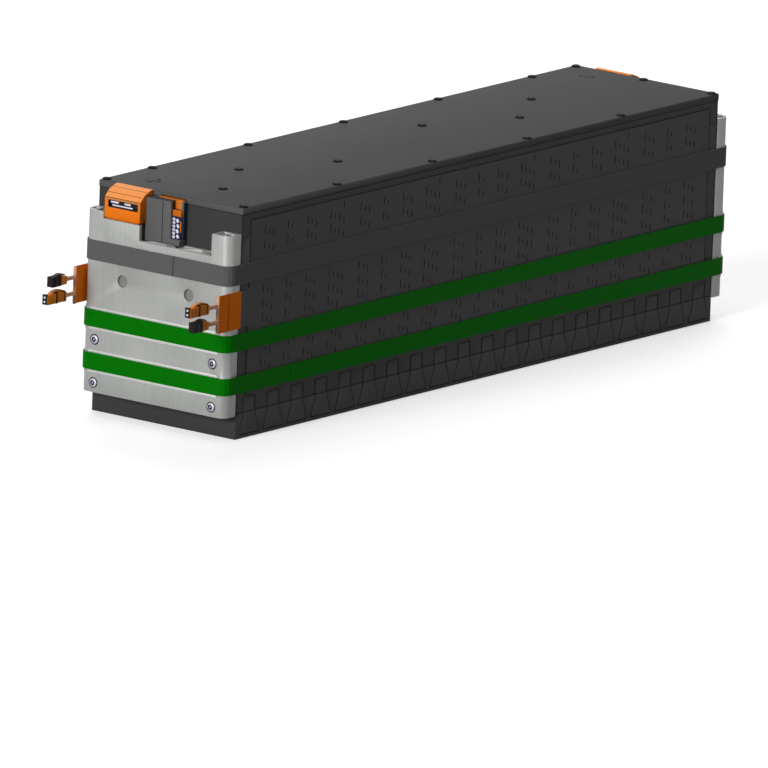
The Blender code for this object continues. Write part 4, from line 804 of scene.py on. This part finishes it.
# A terminal cover's small parts, as boxes from (out, y, z) to (out, y, z), where out starts at the cover's face:
# the bright latch bars in the slot, a dark back and rim of the slot painted as the shade inside it, the band over
# it, and the hinge grooves
COVER_FACE = 320.95
COVER_PARTS = (
    ("cover_latch_bars", TIN, 0.25, (((-1.9, 40.4, 172.7), (-0.9, 48.2, 174.5)),
                                     ((-1.9, 28.4, 172.7), (-0.9, 34.4, 174.5)),
                                     ((-1.9, 26.0, 170.5), (-0.7, 46.4, 171.7)))),
    # Painted shade: dark boxes at the back of the slot and round its rim, where it lies in shade
    ("cover_slot_back_shade", SHADE, 0.2, (((-2.6, 21.2, 169.2), (-2.0, 50.3, 175.6)),)),
    ("cover_slot_rim_shade", SHADE, 0.0, (((-1.0, 20.2, 169.4), (0.12, 49.9, 170.1)),
                                      ((-1.0, 20.2, 174.7), (0.12, 49.9, 175.3)),
                                      ((-1.0, 20.2, 170.1), (0.12, 22.3, 174.7)),
                                      ((-1.0, 49.2, 170.1), (0.12, 49.9, 174.7)))),
    ("cover_band", TAN_ORANGE, 0.08, (((-0.3, 18.3, 175.35), (0.1, 53.2, 176.95)),)),
    ("cover_hinge_grooves", BROWN, 0.0, (((-9.42, 18.4, 183.7), (-8.98, 53.1, 184.06)),
                                         ((-3.72, 18.4, 180.3), (-3.28, 53.1, 180.66)),
                                         ((-0.27, 18.4, 176.95), (0.17, 53.1, 177.31)))),
)


def make_cover_details():
    """Terminal covers: painted light on the tops, painted shade on the flanks, and the small parts of each."""
    for end, name in ENDS:
        cover = bpy.data.objects[f"terminal_cover_{name}_finished"].data
        cover.materials.append(COVER_TOP_PAINTED_LIGHT)
        cover.materials.append(COVER_FLANK_PAINTED_SHADE)
        # The tops take a paler copy of the orange as painted light, and the flanks a darker copy as painted shade
        for face in cover.polygons:
            if face.normal.z > 0.5 and face.center.z > 176 * MM:
                face.material_index = 1
            elif abs(face.normal.y) > 0.7:
                face.material_index = 2
        for part, material, rounding, boxes in COVER_PARTS:
            placed = [[(end * (COVER_FACE + out), across(y), z) for out, y, z in box] for box in boxes]
            blocks(f"{part}_{name}", placed, material, "cover_plastic", rounding)


# Signal connector: a parting seam, a dark sheet painted as the lid's shadow on its top, a slate sheet painted as
# the shade on its side, and the header with its cap
CONNECTOR_PARTS = (
    ("connector_seam", SHADE, "connector_shell", 0.0, (-313.62, 0.1, 147.4), (-313.2, 0.75, 181.0)),
    # Painted shadow: a dark sheet on the connector's top, where the lid's edge shades it
    ("connector_top_painted_shadow", SHADE, "connector_shell", 0.0, (-313.3, -7.3, 181.2), (-305.2, 17.0, 181.55)),
    # Painted shade: a dark slate sheet on the connector's side face, which is in shade
    ("connector_side_painted_shade", CONNECTOR_SIDE_SHADE, "connector_shell", 0.1, (-309.2, -17.1, 151.7), (-305.1, -16.7, 181.1)),
    ("header_front", NAVY, "header_plastic", 0.2, (-310.6, -16.6, 151.7), (-309.2, -7.8, 170.0)),
    ("header_cap", SEAT, "header_plastic", 0.2, (-311.4, -16.4, 169.9), (-309.2, -7.9, 174.8)),
)


def make_connector_details():
    """The connector's small parts, and two columns of slanted contacts and a latch on the header."""
    for name, material, slot, rounding, one, other in CONNECTOR_PARTS:
        blocks(name, [(one, other)], material, slot, rounding)
    left = [(-310.9, -9.2, 153.25 + 2.85 * row) for row in range(6)]
    right = [(-310.9, -13.2 + 0.5 * (row % 2), 154.0 + 4.2 * row) for row in range(4)]
    repeated("header_contacts_left", BARS, left, TIN, "header_plastic", (0.3, 0, 0), Size=(0.9, 2.6, 2.0))
    repeated("header_contacts_right", BARS, right, TIN, "header_plastic", (-0.5, 0, 0), Size=(0.9, 2.2, 2.9))
    blocks("header_latch", [((-311.1, -16.4, 157.4), (-310.4, -15.2, 166.2))], SEAT, "header_plastic", 0.2)


# Where the film's tail ends, inside its moulded end
TAIL_END = -331.3


def make_tail_details():
    """Heater tails: a pale moulded end that holds the wires, and a darker strip painted as the shade of a crease
    in the tail.
    """
    for side, name in SIDES:
        film = f"heater_film_{name}"
        shape = copy_of(film)
        for vert in shape.verts:
            vert.co.x = max(vert.co.x, TAIL_END * MM)
        keep(piece_of(f"{film}_finished", shape), FILM, film)
        blocks(f"tail_end_{name}", [((-331.9, side * 69.9, 89.2), (-331.0, side * 72.65, 119.2))],
               PEACH, "heater_film", 0.2)
        # Painted shade: a darker amber strip where the tail is creased
        blocks(f"tail_fold_{name}", [((-319.6, side * 72.3, 89.3), (-318.9, side * 72.62, 119.1))],
               TAIL_CREASE_PAINTED_SHADE, "heater_film")


# Where a lead starts inside the tail's moulded end, and how far a finished plug's back is from the solid's
LEAD_START = -330.9
PLUG_BACK = 1.7

# A finished plug or socket is this share of its solid's width and height
PLUG_WIDTH, PLUG_HEIGHT = 0.9, 0.84

# Lengths from the mating face: of the whole, of the dark collars, and where the latch starts and its length
PLUG_KIND = {"length": 23.8, "collars": ((10.6, 12.4), (20.6, 21.4)), "latch": (6.0, 15), "latch_finish": LATCH,
             "pin_or_hole_shade_finish": TIN}
# A socket's two contacts are brown discs, painted as the shade in its holes
SOCKET_KIND = {"length": 18.2, "collars": ((-0.1, 5.9), (6.3, 10.8)), "latch": (4.6, 12), "latch_finish": BROWN,
               "pin_or_hole_shade_finish": BROWN}
CONNECTORS = {"right_upper": PLUG_KIND, "right_lower": SOCKET_KIND, "left_lower": PLUG_KIND,
              "left_upper": SOCKET_KIND}


def make_lead(name, back):
    """A flat pair of wires in one sleeve, from the tail's moulded end into the back of its plug."""
    node = f"heater_lead_{name}"
    low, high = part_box(node)
    middle_x = (low[0] + high[0]) / 2
    shape = copy_of(node)
    for vert in shape.verts:
        vert.co.x = (LEAD_START if vert.co.x > middle_x else back - 0.6) * MM
    keep(piece_of(f"{node}_finished", shape), SLEEVE, node)


def latch_arch(name, start, length, middle_y, base):
    """A bowed latch strip from one end to the other along X, 3.4 mm wide."""
    rises = [(0, 0), (0.12, 0.9), (0.35, 1.6), (0.65, 1.6), (0.88, 0.9), (1, 0)]
    outline = rises + [(share, max(rise - 0.8, -0.6)) for share, rise in reversed(rises)]
    shape = bmesh.new()
    near, far = ([shape.verts.new(((start + share * length) * MM, y * MM, (base + rise) * MM))
                  for share, rise in outline] for y in (middle_y - 1.7, middle_y + 1.7))
    count = len(outline)
    for i in range(count):
        j = (i + 1) % count
        shape.faces.new((near[i], near[j], far[j], far[i]))
    for ring in (near, far):
        for i in range(len(rises) - 1):
            shape.faces.new((ring[i], ring[i + 1], ring[count - 2 - i], ring[count - 1 - i]))
    bmesh.ops.recalc_face_normals(shape, faces=shape.faces)
    return piece_of(name, shape)


def make_heater_connector(name, kind):
    """A heater plug or socket: its body, a dark mating face with collars, two contacts, which on a socket are dark
    discs painted as the shade in its holes, and a latch on top.
    """
    node = f"heater_connector_{name}"
    low, high = (Vector(corner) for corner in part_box(node))
    middle = (low + high) / 2
    back = high.x / MM - PLUG_BACK
    face = back - kind["length"]
    make_lead(name, back)
    shape = copy_of(node)
    stretch = kind["length"] * MM / (high.x - low.x)
    for vert in shape.verts:
        vert.co = (back * MM + (vert.co.x - high.x) * stretch, middle.y + (vert.co.y - middle.y) * PLUG_WIDTH,
                   middle.z + (vert.co.z - middle.z) * PLUG_HEIGHT)
    softened(node, PLUG, 0.35, shape=shape)
    y, z = middle.y / MM, middle.z / MM
    wide = (high.y - low.y) / MM * PLUG_WIDTH / 2
    tall = (high.z - low.z) / MM * PLUG_HEIGHT / 2
    shape = bmesh.new()
    # The mating face and then the collars: from and to along X, how far proud of the body, and the edges' radius
    parts = [(-0.2, 0.6, -0.3, 0.1)] + [(start, stop, 0.25, 0.3) for start, stop in kind["collars"]]
    for start, stop, margin, rounding in parts:
        block(shape, (face + start, y - wide - margin, z - tall - margin),
              (face + stop, y + wide + margin, z + tall + margin), rounding)
    keep(piece_of(f"plug_collars_{name}", shape), SHADE, slot="plug_plastic")
    shape = bmesh.new()
    for drop in (-1.75, 1.75):
        round_bar(shape, (face - 0.15, y, z + drop), radius=0.85, length=0.9, sides=20)
    keep(piece_of(f"plug_contacts_{name}", shape), kind["pin_or_hole_shade_finish"], slot="plug_plastic")
    start, length = kind["latch"]
    keep(latch_arch(f"plug_latch_{name}", face + start, length, y, z + tall), kind["latch_finish"],
         slot="plug_plastic")


# Faces of the tray's tongues and of the buttresses on them, where a dark line is half sunk
TONGUE_FACE, BUTTRESS_FACE = 71.25, 71.83


def make_tongue_gaps():
    """Dark lines round the tray's tongues and buttresses, where each one lies against the side panel."""
    middles = [(cell - (CELLS - 1) / 2) * CELL_PITCH for cell in range(CELLS)]
    for side, name in SIDES:
        # Each set of lines has its name, its shift along X, the face that it lies in, its height, lean and size
        lines = []
        for way, end in ENDS:
            lines += [(f"tongue_gaps_{name}_{end}", way * 7.4, TONGUE_FACE, 26.4, 0, (0.5, 0.1, 12.2)),
                      (f"buttress_gaps_{name}_{end}", way * 9.85, BUTTRESS_FACE, 11.7, -way * 0.307,
                       (0.5, 0.1, 17.8))]
        lines += [(f"tongue_tops_{name}", 0, TONGUE_FACE, 32.7, 0, (15.3, 0.1, 0.45)),
                  (f"buttress_feet_{name}", 0, BUTTRESS_FACE, 3.2, 0, (25.3, 0.1, 0.7)),
                  (f"tongue_feet_{name}", 0, TONGUE_FACE, 20.7, 0, (CELL_PITCH, 0.1, 0.45))]
        for line, shift, face, z, lean, size in lines:
            repeated(line, BARS, [(x + shift, side * face, z) for x in middles], GAP, "tray_plastic",
                     (0, lean, 0), Size=size)


def make_polarity_marks():
    """A raised plus on the lid by one terminal and a raised minus by the other."""
    for end, name in ((-1, "plus"), (1, "minus")):
        x, y = end * 277, 40
        shape = bmesh.new()
        block(shape, (x - 2, y - 7, LID_TOP - 0.1), (x + 2, y + 7, LID_TOP + 0.5), 0.15)
        mark = piece_of(f"{name}_mark", shape)
        if name == "plus":
            shape = bmesh.new()
            block(shape, (x - 7, y - 2, LID_TOP - 0.2), (x + 7, y + 2, LID_TOP + 0.52), 0.15)
            bar = piece_of("bar", shape)
            join = mark.modifiers.new("join", "BOOLEAN")
            join.operation = "UNION"
            join.solver = "EXACT"
            join.object = bar
            settle(mark)
            bpy.data.objects.remove(bar)
        keep(mark, LID, slot="lid_plastic")


finish_nodes()
finish_shells()
make_screws()
make_strap_beads()
make_hole_floors()
make_film_dashes()
make_cover_details()
make_connector_details()
make_tail_details()
for name, kind in CONNECTORS.items():
    make_heater_connector(name, kind)
make_tongue_gaps()
make_side_joints()
make_inside_details()
make_polarity_marks()
